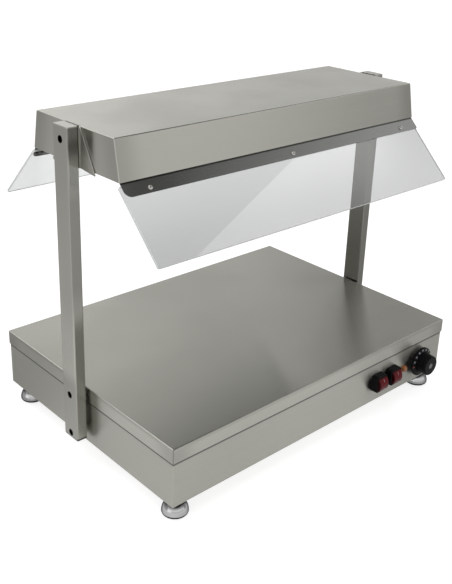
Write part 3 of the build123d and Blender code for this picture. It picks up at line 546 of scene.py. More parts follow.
def foot_shade(tree, place):
    # A bell is dark at the rim that stands on the table and towards its neck, but not on its stem.
    height = split(tree, place)[2]
    rim = step_up(tree, height, 0.0054, 0.0044)
    neck = step_up(tree, height, 0.0150, 0.0225)
    bell = step_up(tree, height, 0.0325, 0.0310)
    return product(tree, bell, calc(tree, "MAXIMUM", rim, neck))


def pane_fade(tree, place, axis, start, stop):
    # Painted light and shade: a shield's tint grows lighter or darker along one axis.
    return step_up(tree, split(tree, place)[axis], start, stop)


def key_rim(tree, place, low, high):
    # The sides of a rocker key, and its face near them, lie deep in the frame's shadow.
    spot = split(tree, place)
    shadow_start, shadow_full = 0.62, 0.97
    reach = []
    for axis in (0, 2):
        offset = off_centre(tree, spot[axis], (low[axis] + high[axis]) / 2)
        reach.append(calc(tree, "DIVIDE", offset, (high[axis] - low[axis]) / 2))
    return step_up(tree, calc(tree, "MAXIMUM", *reach), shadow_start, shadow_full)


def dish_glint(tree, place):
    # A painted glint on the dish in the middle of the knob's front.
    dish_radius, bright_radius, dish_depth = 0.0066, 0.0040, 0.003
    spot = split(tree, place)
    run = calc(tree, "SUBTRACT", spot[0], knob_centre.x)
    rise = calc(tree, "SUBTRACT", spot[2], knob_centre.z)
    square = calc(tree, "ADD", product(tree, run, run), product(tree, rise, rise))
    front = calc(tree, "LESS_THAN", spot[1], knob_low.y + dish_depth)
    return product(tree, step_up(tree, calc(tree, "SQRT", square), dish_radius, bright_radius), front)


# Materials; a patch is a mask and the tint that it lays over the base colour


def blank(name):
    made = bpy.data.materials.new(name)
    made.use_nodes = True
    tree = made.node_tree
    return made, tree, tree.nodes["Principled BSDF"], add(tree, "ShaderNodeTexCoord").outputs["Object"]


def bump(tree, shader, height, strength, distance):
    made = add(tree, "ShaderNodeBump", {"Height": height, "Strength": strength, "Distance": distance})
    plug(tree, made.outputs[0], shader.inputs["Normal"])


def patched(tree, place, base, patches):
    for mask, tint in patches:
        base = blend_colour(tree, mask(tree, place), base, tint)
    return base


def across_grain(tree, facing, grain_axis):
    # The direction in which a brushed face spreads light: across its grain.
    grain = (0.0, 0.0, 1.0)
    if grain_axis == "X":
        grain = blend_vector(tree, on_ends(tree, facing), (1.0, 0.0, 0.0), (0.0, 1.0, 0.0))
    return vector_calc(tree, "CROSS_PRODUCT", facing, grain)


def brushed(name, colour, roughness, finish, grain_axis="X", spread=0.94, fold_highlight=0.0, patches=()):
    made, tree, shader, place = blank(name)
    along, across = 1.0 / finish.grain_length, 1.0 / finish.grain_width
    grain, end_grain = (along, across, across), (across, along, across)
    if grain_axis == "Z":
        grain = end_grain = (across, across, along)
    facing = face_normal(tree)
    streaks = use_group(tree, brushed_grain, Position=place, Facing=facing,
                        Grain=grain, End_Grain=end_grain)
    marks = use_group(tree, handling_marks, Position=place, Size=7.0)
    tone = between(tree, streaks["Tone"], -1.0, 2.0)
    dark_streak, pale_streak, fold_shade = 0.962, 1.032, 0.7
    base = blend_colour(tree, tone, shade(colour, dark_streak), shade(colour, pale_streak))
    # Painted highlight on the folds at the ends and painted shade on those along the sides.
    if fold_highlight:
        ends, sides = use_group(tree, worn_folds, Facing=facing)
        base = blend_colour(tree, sides, base, shade(colour, fold_shade))
        base = blend_colour(tree, ends, base, shade(colour, fold_highlight))
    plug(tree, patched(tree, place, base, patches), shader.inputs["Base Color"])
    grain_swing, mark_swing = 0.01, 0.025
    rough = calc(tree, "ADD", between(tree, tone, roughness - grain_swing, roughness + grain_swing),
                 product(tree, marks["Mask"], mark_swing))
    plug(tree, rough, shader.inputs["Roughness"])
    plug(tree, across_grain(tree, facing, grain_axis), shader.inputs["Tangent"])
    shader.inputs["Anisotropic"].default_value = spread
    shader.inputs["Metallic"].default_value = 1.0
    bump(tree, shader, streaks["Height"], 0.05, finish.grain_depth)
    return made


def plated(name, colour, roughness, edge=1.0, patches=()):
    # The edge is the tint of the plating where it is seen at a grazing angle.
    made, tree, shader, place = blank(name)
    marks = use_group(tree, handling_marks, Position=place, Size=70.0)
    base = blend_colour(tree, marks["Mask"], colour, shade(colour, 0.93))
    plug(tree, patched(tree, place, base, patches), shader.inputs["Base Color"])
    plug(tree, between(tree, marks["Mask"], roughness, roughness + 0.06), shader.inputs["Roughness"])
    shader.inputs["Specular Tint"].default_value = (edge, edge, edge, 1.0)
    shader.inputs["Metallic"].default_value = 1.0
    return made


def moulded(name, colour, roughness, pitch=1800.0, depth=0.00003, gloss=0.5, patches=()):
    made, tree, shader, place = blank(name)
    skin = use_group(tree, moulded_skin, Position=place, Pitch=pitch)
    base = blend_colour(tree, skin["Tone"], shade(colour, 0.85), shade(colour, 1.2))
    plug(tree, patched(tree, place, base, patches), shader.inputs["Base Color"])
    rough = between(tree, skin["Tone"], roughness - 0.04, roughness + 0.06)
    plug(tree, rough, shader.inputs["Roughness"])
    shader.inputs["Specular IOR Level"].default_value = gloss
    bump(tree, shader, skin["Height"], 0.3, depth)
    return made


def printed(name, colour):
    return moulded(name, colour, 0.5, 2500.0, 0.000005)


def clear(name, colour, index, roughness=0.0, patches=()):
    made, tree, shader, place = blank(name)
    marks = use_group(tree, handling_marks, Position=place, Size=9.0)
    base = blend_colour(tree, marks["Mask"], colour, shade(colour, 0.985))
    plug(tree, patched(tree, place, base, patches), shader.inputs["Base Color"])
    shader.inputs["Roughness"].default_value = roughness
    shader.inputs["IOR"].default_value = index
    shader.inputs["Transmission Weight"].default_value = 1.0
    return made


# Operators, one for each group of pieces


def brush_base(finish):
    colour, roughness = finish.sheet_colour, finish.sheet_roughness
    lid_sizes = (half_length, (lid_high.y - lid_low.y) / 2)
    corner_reach, fold_depth, seam_width, lid_gap = 0.055, 0.008, 0.0007, 0.0042
    # Painted shade on the lid's sides near its corners.
    shaded = (partial(ground_corner, sizes=lid_sizes, reach=corner_reach), shade(colour, 0.8))
    # Painted shade on the lid's sides just under its top fold.
    brow = (partial(under_fold, level=lid_high.z, depth=fold_depth), shade(colour, 0.84))
    seam = (partial(corner_line, sizes=lid_sizes, width=seam_width), shade(colour, 0.1))
    lid = brushed("brushed_lid", colour, roughness - 0.03, finish, spread=1.0, fold_highlight=1.4,
                  patches=(shaded, brow, seam))
    dress(lid, "top_plate")
    # Painted shadow on the skirt just under the lid's edge.
    band = (partial(just_below, level=lid_low.z, depth=lid_gap), shade(colour, 0.33))
    dress(brushed("brushed_skirt", colour, roughness + 0.09, finish, patches=(band,)), "base_skirt")
    underside = brushed("mill_sheet", shade(colour, 0.9), roughness + 0.12, finish)
    dress(underside, "bottom_plate", "foot_plates")


def brush_canopy(finish):
    colour, roughness = finish.sheet_colour, finish.sheet_roughness
    hood_sizes = (half_length, (canopy_high.y - canopy_low.y) / 2, canopy_lean, canopy_low.z)
    corner_reach, highlight_width, rail_gap = 0.055, 0.0014, 0.0024
    # Painted shade on the canopy's sides near its corners.
    shaded = (partial(ground_corner, sizes=hood_sizes, reach=corner_reach), shade(colour, 0.8))
    # Painted highlight along the canopy's upright corners.
    corner_light = (partial(corner_weld, sizes=hood_sizes, width=highlight_width), shade(colour, 1.2))
    # Painted shadow on the canopy ends behind the gussets' wings.
    gap_shadow = (wing_gap, shade(colour, 0.65))
    hood = brushed("brushed_hood", colour, roughness, finish, fold_highlight=1.45, patches=(shaded, corner_light, gap_shadow))
    dress(hood, "canopy")
    # Painted shadow on the rails just under the canopy's edge.
    band = (partial(just_below, level=canopy_low.z, depth=rail_gap), shade(colour, 0.1))
    rail = brushed("brushed_rail", finish.rail_colour, 0.25, finish, patches=(band,))
    dress(rail, "shield_rail_front", "shield_rail_rear")


def brush_posts(finish):
    colour, roughness = finish.sheet_colour, finish.sheet_roughness
    wide, narrow = 0, 1

    # Painted light and shade on the posts' sides, band by band.
    def polish(axis, low, high, factor):
        return partial(post_polish, axis=axis, low=low, high=high), shade(colour, factor)

    # Painted light on the side of each post that faces the base.
    highlight_drop = 0.002
    back = (partial(post_back, level=lid_high.z - highlight_drop), shade(colour, 2.2))
    toe = (partial(post_toe, level=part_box("post_left")[0].z), shade(colour, 0.2))
    left = (polish(narrow, 0.262, 0.345, 0.55), polish(narrow, 0.475, 0.530, 0.85),
            polish(narrow, 0.540, 0.570, 0.34), polish(narrow, 0.572, 0.590, 0.55),
            polish(wide, 0.330, 0.230, 1.12), polish(wide, 0.185, 0.150, 0.80), back, toe)
    right = (polish(wide, 0.365, 0.310, 0.56), polish(narrow, 0.365, 0.310, 0.50), back, toe)
    # Each post is a darker copy of the sheet, the right one darker still: painted shade.
    for name, factor, patches in (("post_left", 0.85, left), ("post_right", 0.70, right)):
        post = brushed("brushed_" + name, shade(colour, factor), roughness, finish, "Z", patches=patches)
        dress(post, name)
    dress(brushed("brushed_sheet", colour, roughness, finish), "post_top_caps")
    # Painted highlight on the gussets' sloping edges.
    sheared_highlight = (cut_edge, shade(finish.fastener_colour, 1.35))
    wings = brushed("brushed_gusset", shade(colour, 0.98), roughness, finish, "Z", patches=(sheared_highlight,))
    dress(wings, "gusset_left", "gusset_right")


class WARMER_OT_sheet_metal(bpy.types.Operator):
    """Brush the lid, the skirt, the canopy, the rails, the gussets and the posts"""
    bl_idname = "warmer.sheet_metal"
    bl_label = "Sheet metal"

    def execute(self, context):
        finish = context.scene.warmer_finish
        brush_base(finish)
        brush_canopy(finish)
        brush_posts(finish)
        return {"FINISHED"}


class WARMER_OT_feet(bpy.types.Operator):
    """Plate the four bell feet"""
    bl_idname = "warmer.feet"
    bl_label = "Bell feet"

    def execute(self, context):
        colour = context.scene.warmer_finish.chrome_colour
        chrome = plated("chrome", colour, 0.05, edge=0.0, patches=((foot_shade, shade(colour, 0.06)),))
        dress(chrome, "foot_front_left", "foot_front_right", "foot_rear_left", "foot_rear_right")
        return {"FINISHED"}


def pane_mesh(node, materials, lean):
    # A merged copy of a shield, with its sawn edges in the second material.
    bm = merged(node)
    along_lean = 0.95
    for face in bm.faces:
        face.material_index = 0 if abs(face.normal.dot(lean)) > along_lean else 1
    made = as_mesh(node + "_pane", bm)
    made.attributes.remove(made.attributes["custom_normal"])
    for material in materials:
        made.materials.append(material)
    smooth(made, 30.0)
    return made


class WARMER_OT_shields(bpy.types.Operator):
    """Make the two sloping shields clear, with matt sawn edges"""
    bl_idname = "warmer.shields"
    bl_label = "Clear shields"

    def execute(self, context):
        finish = context.scene.warmer_finish
        tint, acrylic_index = finish.shield_colour, 1.49
        sawn = moulded("sawn_edge", finish.edge_colour, 0.4, 1200.0, 0.00002)
        low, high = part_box("shield_front")
        # Painted light and shade on the front shield: lighter towards the top, darker towards the right end.
        pane_shades = ((partial(pane_fade, axis=2, start=low.z, stop=high.z), shade(tint, 1.18)),
                 (partial(pane_fade, axis=0, start=0.45 * high.x, stop=high.x), shade(tint, 0.85)))
        # The front pane's tint is darkened and the rear pane's lightened: painted shade and light on one
        # sheet.
        for node, side, factor, patches in (("shield_front", -1.0, 0.92, pane_shades),
                                            ("shield_rear", 1.0, 1.45, ())):
            face = clear("clear_" + node, shade(tint, factor), acrylic_index, patches=patches)
            lean = Vector((0.0, side, 1.0)).normalized()
            pane = mesh_object(node + "_pane", pane_mesh(node, (face, sawn), lean))
            settle(pane, "warmer", "clear_sheet", node)
        rubber = moulded("soft_rubber", (0.03, 0.03, 0.03), 0.7)
        dress(rubber, "shield_washers", "wire_bushes", "lamp_cable")
        return {"FINISHED"}


def label_of(key):
    return key.replace("_", " ").title()


def screw_head(tree, given):
    # A dome with a cross recess.
    dome_power = 0.62
    ball = add(tree, "GeometryNodeMeshUVSphere",
               {"Segments": 32, "Rings": 16, "Radius": given["Head Radius"]})
    spot = split(tree, tree.nodes.new("GeometryNodeInputPosition").outputs[0])
    share = calc(tree, "DIVIDE", calc(tree, "MAXIMUM", spot[2], 0.0), given["Head Radius"])
    rise = product(tree, calc(tree, "POWER", share, dome_power), given["Head Height"])
    domed = add(tree, "GeometryNodeSetPosition",
                {"Geometry": ball.outputs[0], "Position": combine(tree, spot[0], spot[1], rise)})
    cut = add(tree, "GeometryNodeMeshBoolean", {"Mesh 1": domed.outputs[0]}, operation="DIFFERENCE")
    size = combine(tree, given["Recess Length"], given["Recess Width"],
                   product(tree, given["Recess Depth"], 2.0))
    lift = combine(tree, height=given["Head Height"])
    bar = add(tree, "GeometryNodeMeshCube", {"Size": size})
    for quarter in (0.0, math.pi / 2):
        turned_bar = add(tree, "GeometryNodeTransform",
                         {"Geometry": bar.outputs[0], "Translation": lift, "Rotation": (0.0, 0.0, quarter)})
        plug(tree, turned_bar.outputs[0], cut.inputs["Mesh 2"])
    return cut.outputs[0]


def screw_shank(tree, given):
    rod = add(tree, "GeometryNodeMeshCylinder",
              {"Vertices": 24, "Radius": given["Shank Radius"], "Depth": given["Shank Length"]})
    drop = combine(tree, height=product(tree, given["Shank Length"], -0.5))
    return add(tree, "GeometryNodeTransform", {"Geometry": rod.outputs[0], "Translation": drop}).outputs[0]


def screw_turn(tree):
    # Along the point's outward direction, with the recess at a random turn.
    limits = {"Min": 0.0, "Max": math.pi / 2, "Seed": 4}
    outward = add(tree, "GeometryNodeInputNamedAttribute", {"Name": "outward"}, data_type="FLOAT_VECTOR")
    stand = add(tree, "FunctionNodeAlignRotationToVector", {"Vector": outward.outputs[0]}, axis="Z")
    spin = add(tree, "FunctionNodeRandomValue", data_type="FLOAT")
    for socket in spin.inputs:
        if socket.enabled and socket.name in limits:
            socket.default_value = limits[socket.name]
    angle = next(socket for socket in spin.outputs if socket.enabled)
    turn = add(tree, "FunctionNodeAxisAngleToRotation", {"Axis": (0.0, 0.0, 1.0), "Angle": angle})
    turned = add(tree, "FunctionNodeRotateRotation",
                 {"Rotation": stand.outputs[0], "Rotate By": turn.outputs[0]}, rotation_space="LOCAL")
    return turned.outputs[0]


def screws(name):
    # Sets a screw, made of head and shank, on each point of a mesh.
    sizes = [(label_of(key), "NodeSocketFloat", WarmerScrew.bl_rna.properties[key].default)
             for key in WarmerScrew.__annotations__]
    tree, given, result = group_tree(
        name, "GeometryNodeTree",
        [("Geometry", "NodeSocketGeometry", None), *sizes, ("Material", "NodeSocketMaterial", None)],
        [("Geometry", "NodeSocketGeometry")])
    whole = tree.nodes.new("GeometryNodeJoinGeometry")
    for part in (screw_head(tree, given), screw_shank(tree, given)):
        plug(tree, part, whole.inputs[0])
    placed = add(tree, "GeometryNodeInstanceOnPoints",
                 {"Points": given["Geometry"], "Instance": whole.outputs[0], "Rotation": screw_turn(tree)})
    real = add(tree, "GeometryNodeRealizeInstances", {"Geometry": placed.outputs[0]})
    done = add(tree, "GeometryNodeSetMaterial",
               {"Geometry": real.outputs[0], "Material": given["Material"]})
    plug(tree, done.outputs[0], result["Geometry"])
    return tree


def grown(name, base, tree, values):
    # Runs a geometry tree on a base mesh and keeps the result as a plain mesh.
    holder = mesh_object(name, base)
    modifier = holder.modifiers.new("grow", "NODES")
    modifier.node_group = tree
    for item in tree.interface.items_tree:
        if item.in_out == "INPUT" and item.name in values:
            modifier[item.identifier] = values[item.name]
    result = evaluated_mesh(holder)
    holder.modifiers.clear()
    holder.data = result
    if not result.polygons:
        raise RuntimeError("no faces were made for " + name)
    return holder


def point_mesh(name, places):
    made = bpy.data.meshes.new(name)
    made.from_pydata([place for place, way in places], [], [])
    outward = made.attributes.new("outward", "FLOAT_VECTOR", "POINT")
    for index, (place, way) in enumerate(places):
        outward.data[index].vector = way
    return made


def loose_parts(node):
    # The corners of each separate solid in a node, as lists of points.
    bm = merged(node)
    bm.verts.ensure_lookup_table()
    seen, parts = set(), []
    for vert in bm.verts:
        if vert.index in seen:
            continue
        stack, part = [vert], []
        seen.add(vert.index)
        while stack:
            here = stack.pop()
            part.append(here.co.copy())
            for edge in here.link_edges:
                other = edge.other_vert(here)
                if other.index not in seen:
                    seen.add(other.index)
                    stack.append(other)
        parts.append(part)
    bm.free()
    return parts


class WARMER_OT_shield_screws(bpy.types.Operator):
    """Set the cross-recessed screws that hold the shields"""
    bl_idname = "warmer.shield_screws"
    bl_label = "Shield screws"

    def execute(self, context):
        size = context.scene.warmer_screw
        places = []
        for part in loose_parts("shield_screws"):
            middle = sum(part, Vector()) / len(part)
            way = Vector((0.0, -1.0 if middle.y < 0.0 else 1.0, 1.0)).normalized()
            reach = max(point.dot(way) for point in part)
            across = [point - way * point.dot(way) for point in part]
            axis = Vector([(min(p[i] for p in across) + max(p[i] for p in across)) / 2 for i in range(3)])
            places.append((axis + way * (reach - size.head_height), way))
        values = {label_of(key): getattr(size, key) for key in WarmerScrew.__annotations__}
        # The screw heads are a darker copy of the fastener colour: painted shade.
        colour = shade(context.scene.warmer_finish.fastener_colour, 0.7)
        values["Material"] = plated("bright_screw", colour, 0.2)
        made = grown("cross_screws", point_mesh("screw_places", places), shared(screws), values)
        smooth(made.data, 35.0)
        settle(made, "warmer", "bright_fastener", "shield_screws")
        return {"FINISHED"}


class WARMER_OT_fasteners(bpy.types.Operator):
    """Finish the bolts, nuts, washers and spacers"""
    bl_idname = "warmer.fasteners"
    bl_label = "Bolts and nuts"

    def execute(self, context):
        bright = plated("zinc_plate", shade(context.scene.warmer_finish.fastener_colour, 0.9), 0.28)
        dress(bright, "shield_nuts", "bottom_screws", "post_bolts", "post_nuts", "head_bolts", "head_nuts",
              "gusset_screws", "thermostat_screws", "element_studs", "element_nuts", "insulation_washers",
              "post_spacers", "foot_nuts", "pilot_nut")
        return {"FINISHED"}


def key_marks(node, low, high, lift):
    # A bar at the top of a rocker key and a ring at its foot, laid on the key's own surface.
    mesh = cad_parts[node].data
    surface = BVHTree.FromPolygons([v.co for v in mesh.vertices], [p.vertices for p in mesh.polygons])
    centre, height = (low + high) / 2, high.z - low.z
    bar_width, bar_foot, bar_length, bar_steps = 0.0012, 0.20 * height, 0.18 * height, 6
    ring_drop, ring_radii, ring_turns = 0.28 * height, (0.0013, 0.0022), 24
    bm = bmesh.new()
    bar, ring = [], []
    for step in range(bar_steps + 1):
        level = centre.z + bar_foot + bar_length * step / bar_steps
        bar.append([bm.verts.new((centre.x + side * bar_width, low.y, level)) for side in (-0.5, 0.5)])
    for turn in range(ring_turns):
        angle = 2.0 * math.pi * turn / ring_turns
        run, rise = math.sin(angle), math.cos(angle)
        ring.append([bm.verts.new((centre.x + radius * run, low.y, centre.z - ring_drop + radius * rise))
                     for radius in ring_radii])
    for first, second in (*zip(bar, bar[1:]), *zip(ring, ring[1:] + ring[:1])):
        bm.faces.new((first[0], first[1], second[1], second[0]))
    inward, stand_off = Vector((0.0, 1.0, 0.0)), 0.01
    for vert in bm.verts:
        hit = surface.ray_cast(vert.co - stand_off * inward, inward)[0]
        vert.co = hit - lift * inward
    face_front(bm)
    return as_mesh("key_marks", bm)


class WARMER_OT_switches(bpy.types.Operator):
    """Mould the black switch frames and their red rocker keys"""
    bl_idname = "warmer.switches"
    bl_label = "Rocker switches"

    def execute(self, context):
        finish, lift = context.scene.warmer_finish, context.scene.warmer_dial.mark_lift
        frame_black = moulded("black_frame", finish.moulding_colour, 0.36, gloss=0.07)
        dress(frame_black, "switch_housing_plate", "switch_housing_lamps")
        print_pale = printed("key_print", finish.print_colour)
        for name, body in (("plate", "plate_rocker"), ("lamps", "lamp_rocker")):
            node = "rocker_" + name
            low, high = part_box(node)
            rim = (partial(key_rim, low=low, high=high), shade(finish.rocker_colour, 0.12))
            key = moulded("red_key_" + name, finish.rocker_colour, 0.12, 900.0, 0.00001, 0.1,
                          patches=(rim,))
            dress(key, node)
            marks = mesh_object("key_marks_" + name, key_marks(node, low, high, lift))
            marks.data.materials.append(print_pale)
            settle(marks, body, "red_rocker")
        return {"FINISHED"}


class WARMER_OT_pilot_lamp(bpy.types.Operator):
    """Mould the amber lens of the pilot lamp"""
    bl_idname = "warmer.pilot_lamp"
    bl_label = "Pilot lamp"

    def execute(self, context):
        finish = context.scene.warmer_finish
        dress(moulded("amber_lens", finish.lens_colour, 0.18, 700.0, 0.00001), "pilot_lens")
        dress(moulded("lamp_barrel", finish.moulding_colour, 0.4), "pilot_body")
        return {"FINISHED"}


def on_dial(dial, radius, angle, lift):
    # A point on the knob's sloping skirt; the angle runs clockwise from the top, seen from the front.
    share = (radius - dial.inner_radius) / (dial.rim_radius - dial.inner_radius)
    height = dial.inner_height + share * (dial.rim_height - dial.inner_height) + lift
    run, rise = radius * math.sin(angle), radius * math.cos(angle)
    return Vector((knob_centre.x + run, panel_y - height, knob_centre.z + rise))


def dial_number(dial, text, angle):
    # A flat number, bent round the dial.
    size_of_height, stroke_of_height = 1.4, 0.012
    curve = bpy.data.curves.new("number_" + text, "FONT")
    curve.body = text
    curve.size = dial.number_height * size_of_height
    curve.align_x = "CENTER"
    curve.align_y = "CENTER"
    curve.resolution_u = 4
    curve.offset = dial.number_height * stroke_of_height
    holder = mesh_object("number_" + text, curve)
    flat = evaluated_mesh(holder)
    bpy.data.objects.remove(holder)
    bm = bmesh.new()
    bm.from_mesh(flat)
    bmesh.ops.remove_doubles(bm, verts=bm.verts, dist=1e-7)
    middle = (dial.rim_radius + dial.inner_radius) / 2
    for vert in bm.verts:
        vert.co = on_dial(dial, middle + vert.co.y, angle + vert.co.x / middle, dial.mark_lift)
    return bm


def dial_print(name, parts, material):
    whole = bmesh.new()
    for part in parts:
        piece = as_mesh("part", part)
        whole.from_mesh(piece)
        bpy.data.meshes.remove(piece)
    face_front(whole)
    made = mesh_object(name, as_mesh(name, whole))
    made.data.materials.append(material)
    settle(made, "knob", "black_knob")


class WARMER_OT_thermostat_dial(bpy.types.Operator):
    """Mould the thermostat's knob and print its numbers"""
    bl_idname = "warmer.thermostat_dial"
    bl_label = "Thermostat dial"

    def execute(self, context):
        finish, dial = context.scene.warmer_finish, context.scene.warmer_dial
        glint = (dish_glint, shade(finish.mark_colour, 0.6))
        knob = moulded("black_knob", finish.moulding_colour, 0.34, gloss=0.07, patches=(glint,))
        dress(knob, "thermostat_knob")
        steel = plated("ground_steel", finish.fastener_colour, 0.25)
        dress(steel, "thermostat_shaft", "thermostat_capillary")
        dress(moulded("thermostat_case", finish.moulding_colour, 0.5), "thermostat_body")
        numbers = [dial_number(dial, str(value), dial.first_angle + step * dial.number_step)
                   for step, value in enumerate(range(20, 120, 10), start=1)]
        dial_print("dial_numbers", numbers, printed("dial_print", finish.mark_colour))
        zero = dial_number(dial, "0", dial.first_angle)
        dial_print("dial_zero", [zero], printed("zero_print", finish.zero_colour))
        return {"FINISHED"}


class WARMER_OT_heat_lamps(bpy.types.Operator):
    """Finish the lamps, their holders, the reflector and the guard"""
    bl_idname = "warmer.heat_lamps"
    bl_label = "Heat lamps"

    def execute(self, context):
        finish = context.scene.warmer_finish
        quartz_index = 1.46
        dress(brushed("bright_reflector", (0.16, 0.16, 0.157), 0.16, finish), "reflector")
        wire = plated("guard_wire", shade(finish.chrome_colour, 0.95), 0.18)
        dress(wire, "lamp_guard", "reflector_standoffs")
        dress(moulded("glazed_ceramic", (0.72, 0.69, 0.62), 0.3, 900.0), "lamp_holders")
        dress(clear("frosted_quartz", (0.93, 0.90, 0.84), quartz_index, 0.25), "lamp_left", "lamp_right")
        return {"FINISHED"}


class WARMER_OT_plate_heater(bpy.types.Operator):
    """Finish what lies under the heated plate"""
    bl_idname = "warmer.plate_heater"
    bl_label = "Plate heater"

    def execute(self, context):
        finish = context.scene.warmer_finish
        dress(plated("heat_blued_sheath", (0.30, 0.27, 0.24), 0.4), "plate_element")
        dress(brushed("clamp_steel", shade(finish.sheet_colour, 0.85), 0.4, finish), "element_clamps")
        dress(moulded("mineral_board", (0.66, 0.61, 0.50), 0.9, 600.0, 0.0002), "insulation_slab")
        return {"FINISHED"}


class WARMER_OT_supply_inlet(bpy.types.Operator):
    """Mould the cable gland, its locknut, the terminals and the posts' foot plugs"""
    bl_idname = "warmer.supply_inlet"
    bl_label = "Supply inlet"

    def execute(self, context):
        black = moulded("black_nylon", context.scene.warmer_finish.moulding_colour, 0.42, gloss=0.3)
        dress(black, "gland_body", "gland_cap", "gland_locknut", "post_foot_caps")
        dress(moulded("terminal_nylon", (0.62, 0.60, 0.54), 0.45), "terminal_block")
        return {"FINISHED"}


def place_camera(stage):
    turn, dip, roll = stage.camera_turn, stage.camera_dip, stage.camera_roll
    ahead = Vector((math.sin(-turn) * math.cos(dip), math.cos(turn) * math.cos(dip), math.sin(dip)))
    right = ahead.cross(Vector((0.0, 0.0, 1.0))).normalized()
    above = right.cross(ahead)
    across = math.cos(roll) * right + math.sin(roll) * above
    upward = math.cos(roll) * above - math.sin(roll) * right
    lens = bpy.data.cameras.new("camera")
    lens.lens, lens.shift_x, lens.shift_y = stage.camera_lens, stage.shift_x, stage.shift_y
    lens.clip_end = 200.0
    camera = mesh_object("camera", lens)
    pose = Matrix((across, upward, -ahead)).transposed().to_4x4()
    pose.translation = Vector(stage.camera_place)
    camera.matrix_world = pose
    bpy.context.scene.camera = camera


def dim_past(tree, value, low, high, level):
    # Falls from one to a level as a value passes from low to high.
    return between(tree, step_up(tree, value, low, high), 1.0, level)


def wall_tone(tree, height, stage):
    # The tone of the studio's wall and ceiling, by the upward part of a direction.
    levels = ((0.0, stage.horizon_level), (0.26, stage.horizon_level), (0.41, stage.wall_level * 1.38),
              (0.56, stage.wall_level), (0.64, stage.wall_level), (0.71, stage.ceiling_level))
    warmth = 0.985
    ramp = add(tree, "ShaderNodeValToRGB", {0: height})
    stops = ramp.color_ramp.elements
    while len(stops) < len(levels):
        stops.new(0.5)
    for stop, (place, level) in zip(stops, levels):
        stop.position = place
        stop.color = (level, level, level * warmth, 1.0)
    return ramp.outputs[0]


def wall_strength(tree, across, ahead, height):
    # The right-hand side of the studio is dimmer, in steps, and the whole front a little dimmer.
    # Low down in front only a strip stays bright.
    low_front = product(tree, step_up(tree, ahead, -0.1, -0.5), step_up(tree, height, 0.42, 0.15))
    front = product(tree, dim_past(tree, across, 0.68, 0.83, 0.5),
                    dim_past(tree, across, 0.61, 0.54, 0.66))
    high_back = product(tree, step_up(tree, ahead, 0.2, 0.5), step_up(tree, height, 0.27, 0.38))
    back = product(tree, dim_past(tree, across, 0.45, 0.6, 0.76),
                   dim_past(tree, across, 0.635, 0.745, 0.54))
    return product(tree, dim_past(tree, across, 0.46, 0.8, 0.66), between(tree, low_front, 1.0, front),
                   between(tree, high_back, 1.0, back), dim_past(tree, ahead, 0.0, -0.6, 0.92))


def hang_box(name, size, power, place, target, roll=0.0):
    light = bpy.data.lights.new(name, "AREA")
    light.shape, light.energy = "RECTANGLE", power
    light.size, light.size_y = size
    lamp = mesh_object(name, light)
    lamp.location = place
    aim = (Vector(target) - Vector(place)).to_track_quat("-Z", "Y")
    lamp.rotation_euler = (aim @ Quaternion((0.0, 0.0, 1.0), roll)).to_euler()


def light_studio(stage):
    world = bpy.data.worlds.new("studio")
    world.use_nodes = True
    tree = world.node_tree
    tree.nodes.clear()
    across, ahead, height = split(tree, add(tree, "ShaderNodeTexCoord").outputs["Generated"])
    # Behind and to the left hangs a bright panel over a dim wall.
    behind = product(tree, step_up(tree, across, 0.0, -0.2), step_up(tree, ahead, 0.15, 0.4))
    panel_edge = step_up(tree, height, 0.42, 0.56)
    panel = blend_colour(tree, panel_edge, (stage.dim_level,) * 3, (stage.back_level,) * 3)
    colour = blend_colour(tree, behind, wall_tone(tree, height, stage), panel)
    strength = wall_strength(tree, across, ahead, height)
    light = add(tree, "ShaderNodeBackground", {"Color": colour, "Strength": strength})
    white = add(tree, "ShaderNodeBackground", {"Color": (1.0, 1.0, 1.0, 1.0), "Strength": 1.0})
    # Straight through the clear sheets the wall is white; mirrored in the metal it keeps its studio tone.
    ray = add(tree, "ShaderNodeLightPath").outputs
    unmirrored = calc(tree, "LESS_THAN", ray["Glossy Depth"], 0.5)
    through = product(tree, ray["Is Transmission Ray"], unmirrored)
    seen = calc(tree, "MAXIMUM", ray["Is Camera Ray"], through)
    both = add(tree, "ShaderNodeMixShader", {0: seen, 1: light.outputs[0], 2: white.outputs[0]})
    plug(tree, both.outputs[0], add(tree, "ShaderNodeOutputWorld").inputs[0])
    bpy.context.scene.world = world
    above, below = (-0.5, -0.2, 2.6), (-0.5, -0.2, 0.0)
    hang_box("soft_box", (3.0, 2.6), stage.top_power, above, below)
    beside, target, roll = (1.833, -1.024, 1.775), (-0.003, -0.328, 0.395), math.radians(-27.6)
    hang_box("side_box", (1.4, 0.8), stage.side_power, beside, target, roll)


def floor_dimming(tree):
    # In the metal the floor is dimmer to the right, behind on the left, and straight behind.
    place = add(tree, "ShaderNodeTexCoord").outputs["Object"]
    across, ahead, _ = split(tree, vector_calc(tree, "NORMALIZE", place))
    distance = add(tree, "ShaderNodeVectorMath", {0: place}, operation="LENGTH").outputs["Value"]
    near = between(tree, step_up(tree, distance, 1.0, 0.6), 0.42, 0.92)
    right = product(tree, step_up(tree, across, 0.45, 0.85), 0.55)
    left = product(tree, step_up(tree, ahead, 0.1, 0.75), step_up(tree, across, 0.0, -0.2), near)
    straight = product(tree, step_up(tree, ahead, 0.78, 0.88), step_up(tree, across, 0.3, 0.1), 0.36)
    return calc(tree, "ADD", right, calc(tree, "ADD", left, straight))


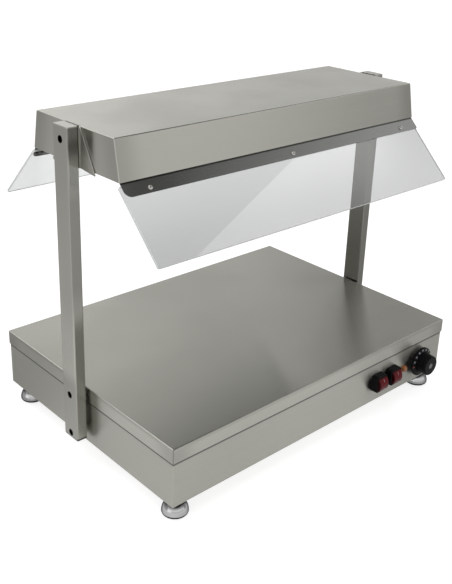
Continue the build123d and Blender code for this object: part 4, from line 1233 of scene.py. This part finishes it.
def lay_floor(stage):
    reach, drop = 60.0, 0.0003
    mesh = bpy.data.meshes.new("floor")
    mesh.from_pydata([(-reach, -reach, -drop), (reach, -reach, -drop), (reach, reach, -drop),
                      (-reach, reach, -drop)], [], [(0, 1, 2, 3)])
    made = bpy.data.materials.new("pale_floor")
    made.use_nodes = True
    tree = made.node_tree
    tree.nodes.clear()
    ray = add(tree, "ShaderNodeLightPath").outputs
    gloss = product(tree, ray["Is Glossy Ray"], between(tree, floor_dimming(tree), stage.floor_gloss, 0.0))
    indirect = calc(tree, "MAXIMUM", gloss, ray["Is Transmission Ray"])
    seen = calc(tree, "MAXIMUM", ray["Is Camera Ray"], indirect)
    matt = add(tree, "ShaderNodeBsdfDiffuse", {"Color": (0.5, 0.5, 0.5, 1.0)})
    glow = add(tree, "ShaderNodeEmission",
               {"Color": (1.0, 1.0, 1.0, 1.0), "Strength": product(tree, seen, stage.floor_level)})
    both = add(tree, "ShaderNodeAddShader", {0: matt.outputs[0], 1: glow.outputs[0]})
    plug(tree, both.outputs[0], add(tree, "ShaderNodeOutputMaterial").inputs[0])
    mesh.materials.append(made)
    mesh_object("floor", mesh)


class WARMER_OT_stage(bpy.types.Operator):
    """Set the camera, the soft light and the pale floor"""
    bl_idname = "warmer.stage"
    bl_label = "Stage"

    def execute(self, context):
        stage = context.scene.warmer_stage
        context.scene.view_settings.view_transform = "Standard"
        place_camera(stage)
        light_studio(stage)
        lay_floor(stage)
        return {"FINISHED"}


operators = (WARMER_OT_stage, WARMER_OT_sheet_metal, WARMER_OT_feet, WARMER_OT_shields,
             WARMER_OT_shield_screws, WARMER_OT_fasteners, WARMER_OT_switches, WARMER_OT_pilot_lamp,
             WARMER_OT_thermostat_dial, WARMER_OT_heat_lamps, WARMER_OT_plate_heater, WARMER_OT_supply_inlet)
groups = {"warmer_finish": WarmerFinish, "warmer_screw": WarmerScrew, "warmer_dial": WarmerDial,
          "warmer_stage": WarmerStage}


class WARMER_PT_panel(bpy.types.Panel):
    bl_idname = "WARMER_PT_panel"
    bl_label = "Food warmer"
    bl_space_type = "VIEW_3D"
    bl_region_type = "UI"
    bl_category = "Warmer"

    def draw(self, context):
        for operator in operators:
            self.layout.operator(operator.bl_idname)
        for name, cls in groups.items():
            box = self.layout.box()
            for key in cls.__annotations__:
                box.prop(getattr(context.scene, name), key)


def register():
    for cls in (*groups.values(), *operators, WARMER_PT_panel):
        bpy.utils.register_class(cls)
    for name, cls in groups.items():
        setattr(bpy.types.Scene, name, PointerProperty(type=cls))


def unregister():
    for name in groups:
        delattr(bpy.types.Scene, name)
    for cls in reversed((*groups.values(), *operators, WARMER_PT_panel)):
        bpy.utils.unregister_class(cls)


def main():
    register()
    for operator in operators:
        family, name = operator.bl_idname.split(".")
        getattr(getattr(bpy.ops, family), name)()


if __name__ == "__main__":
    main()
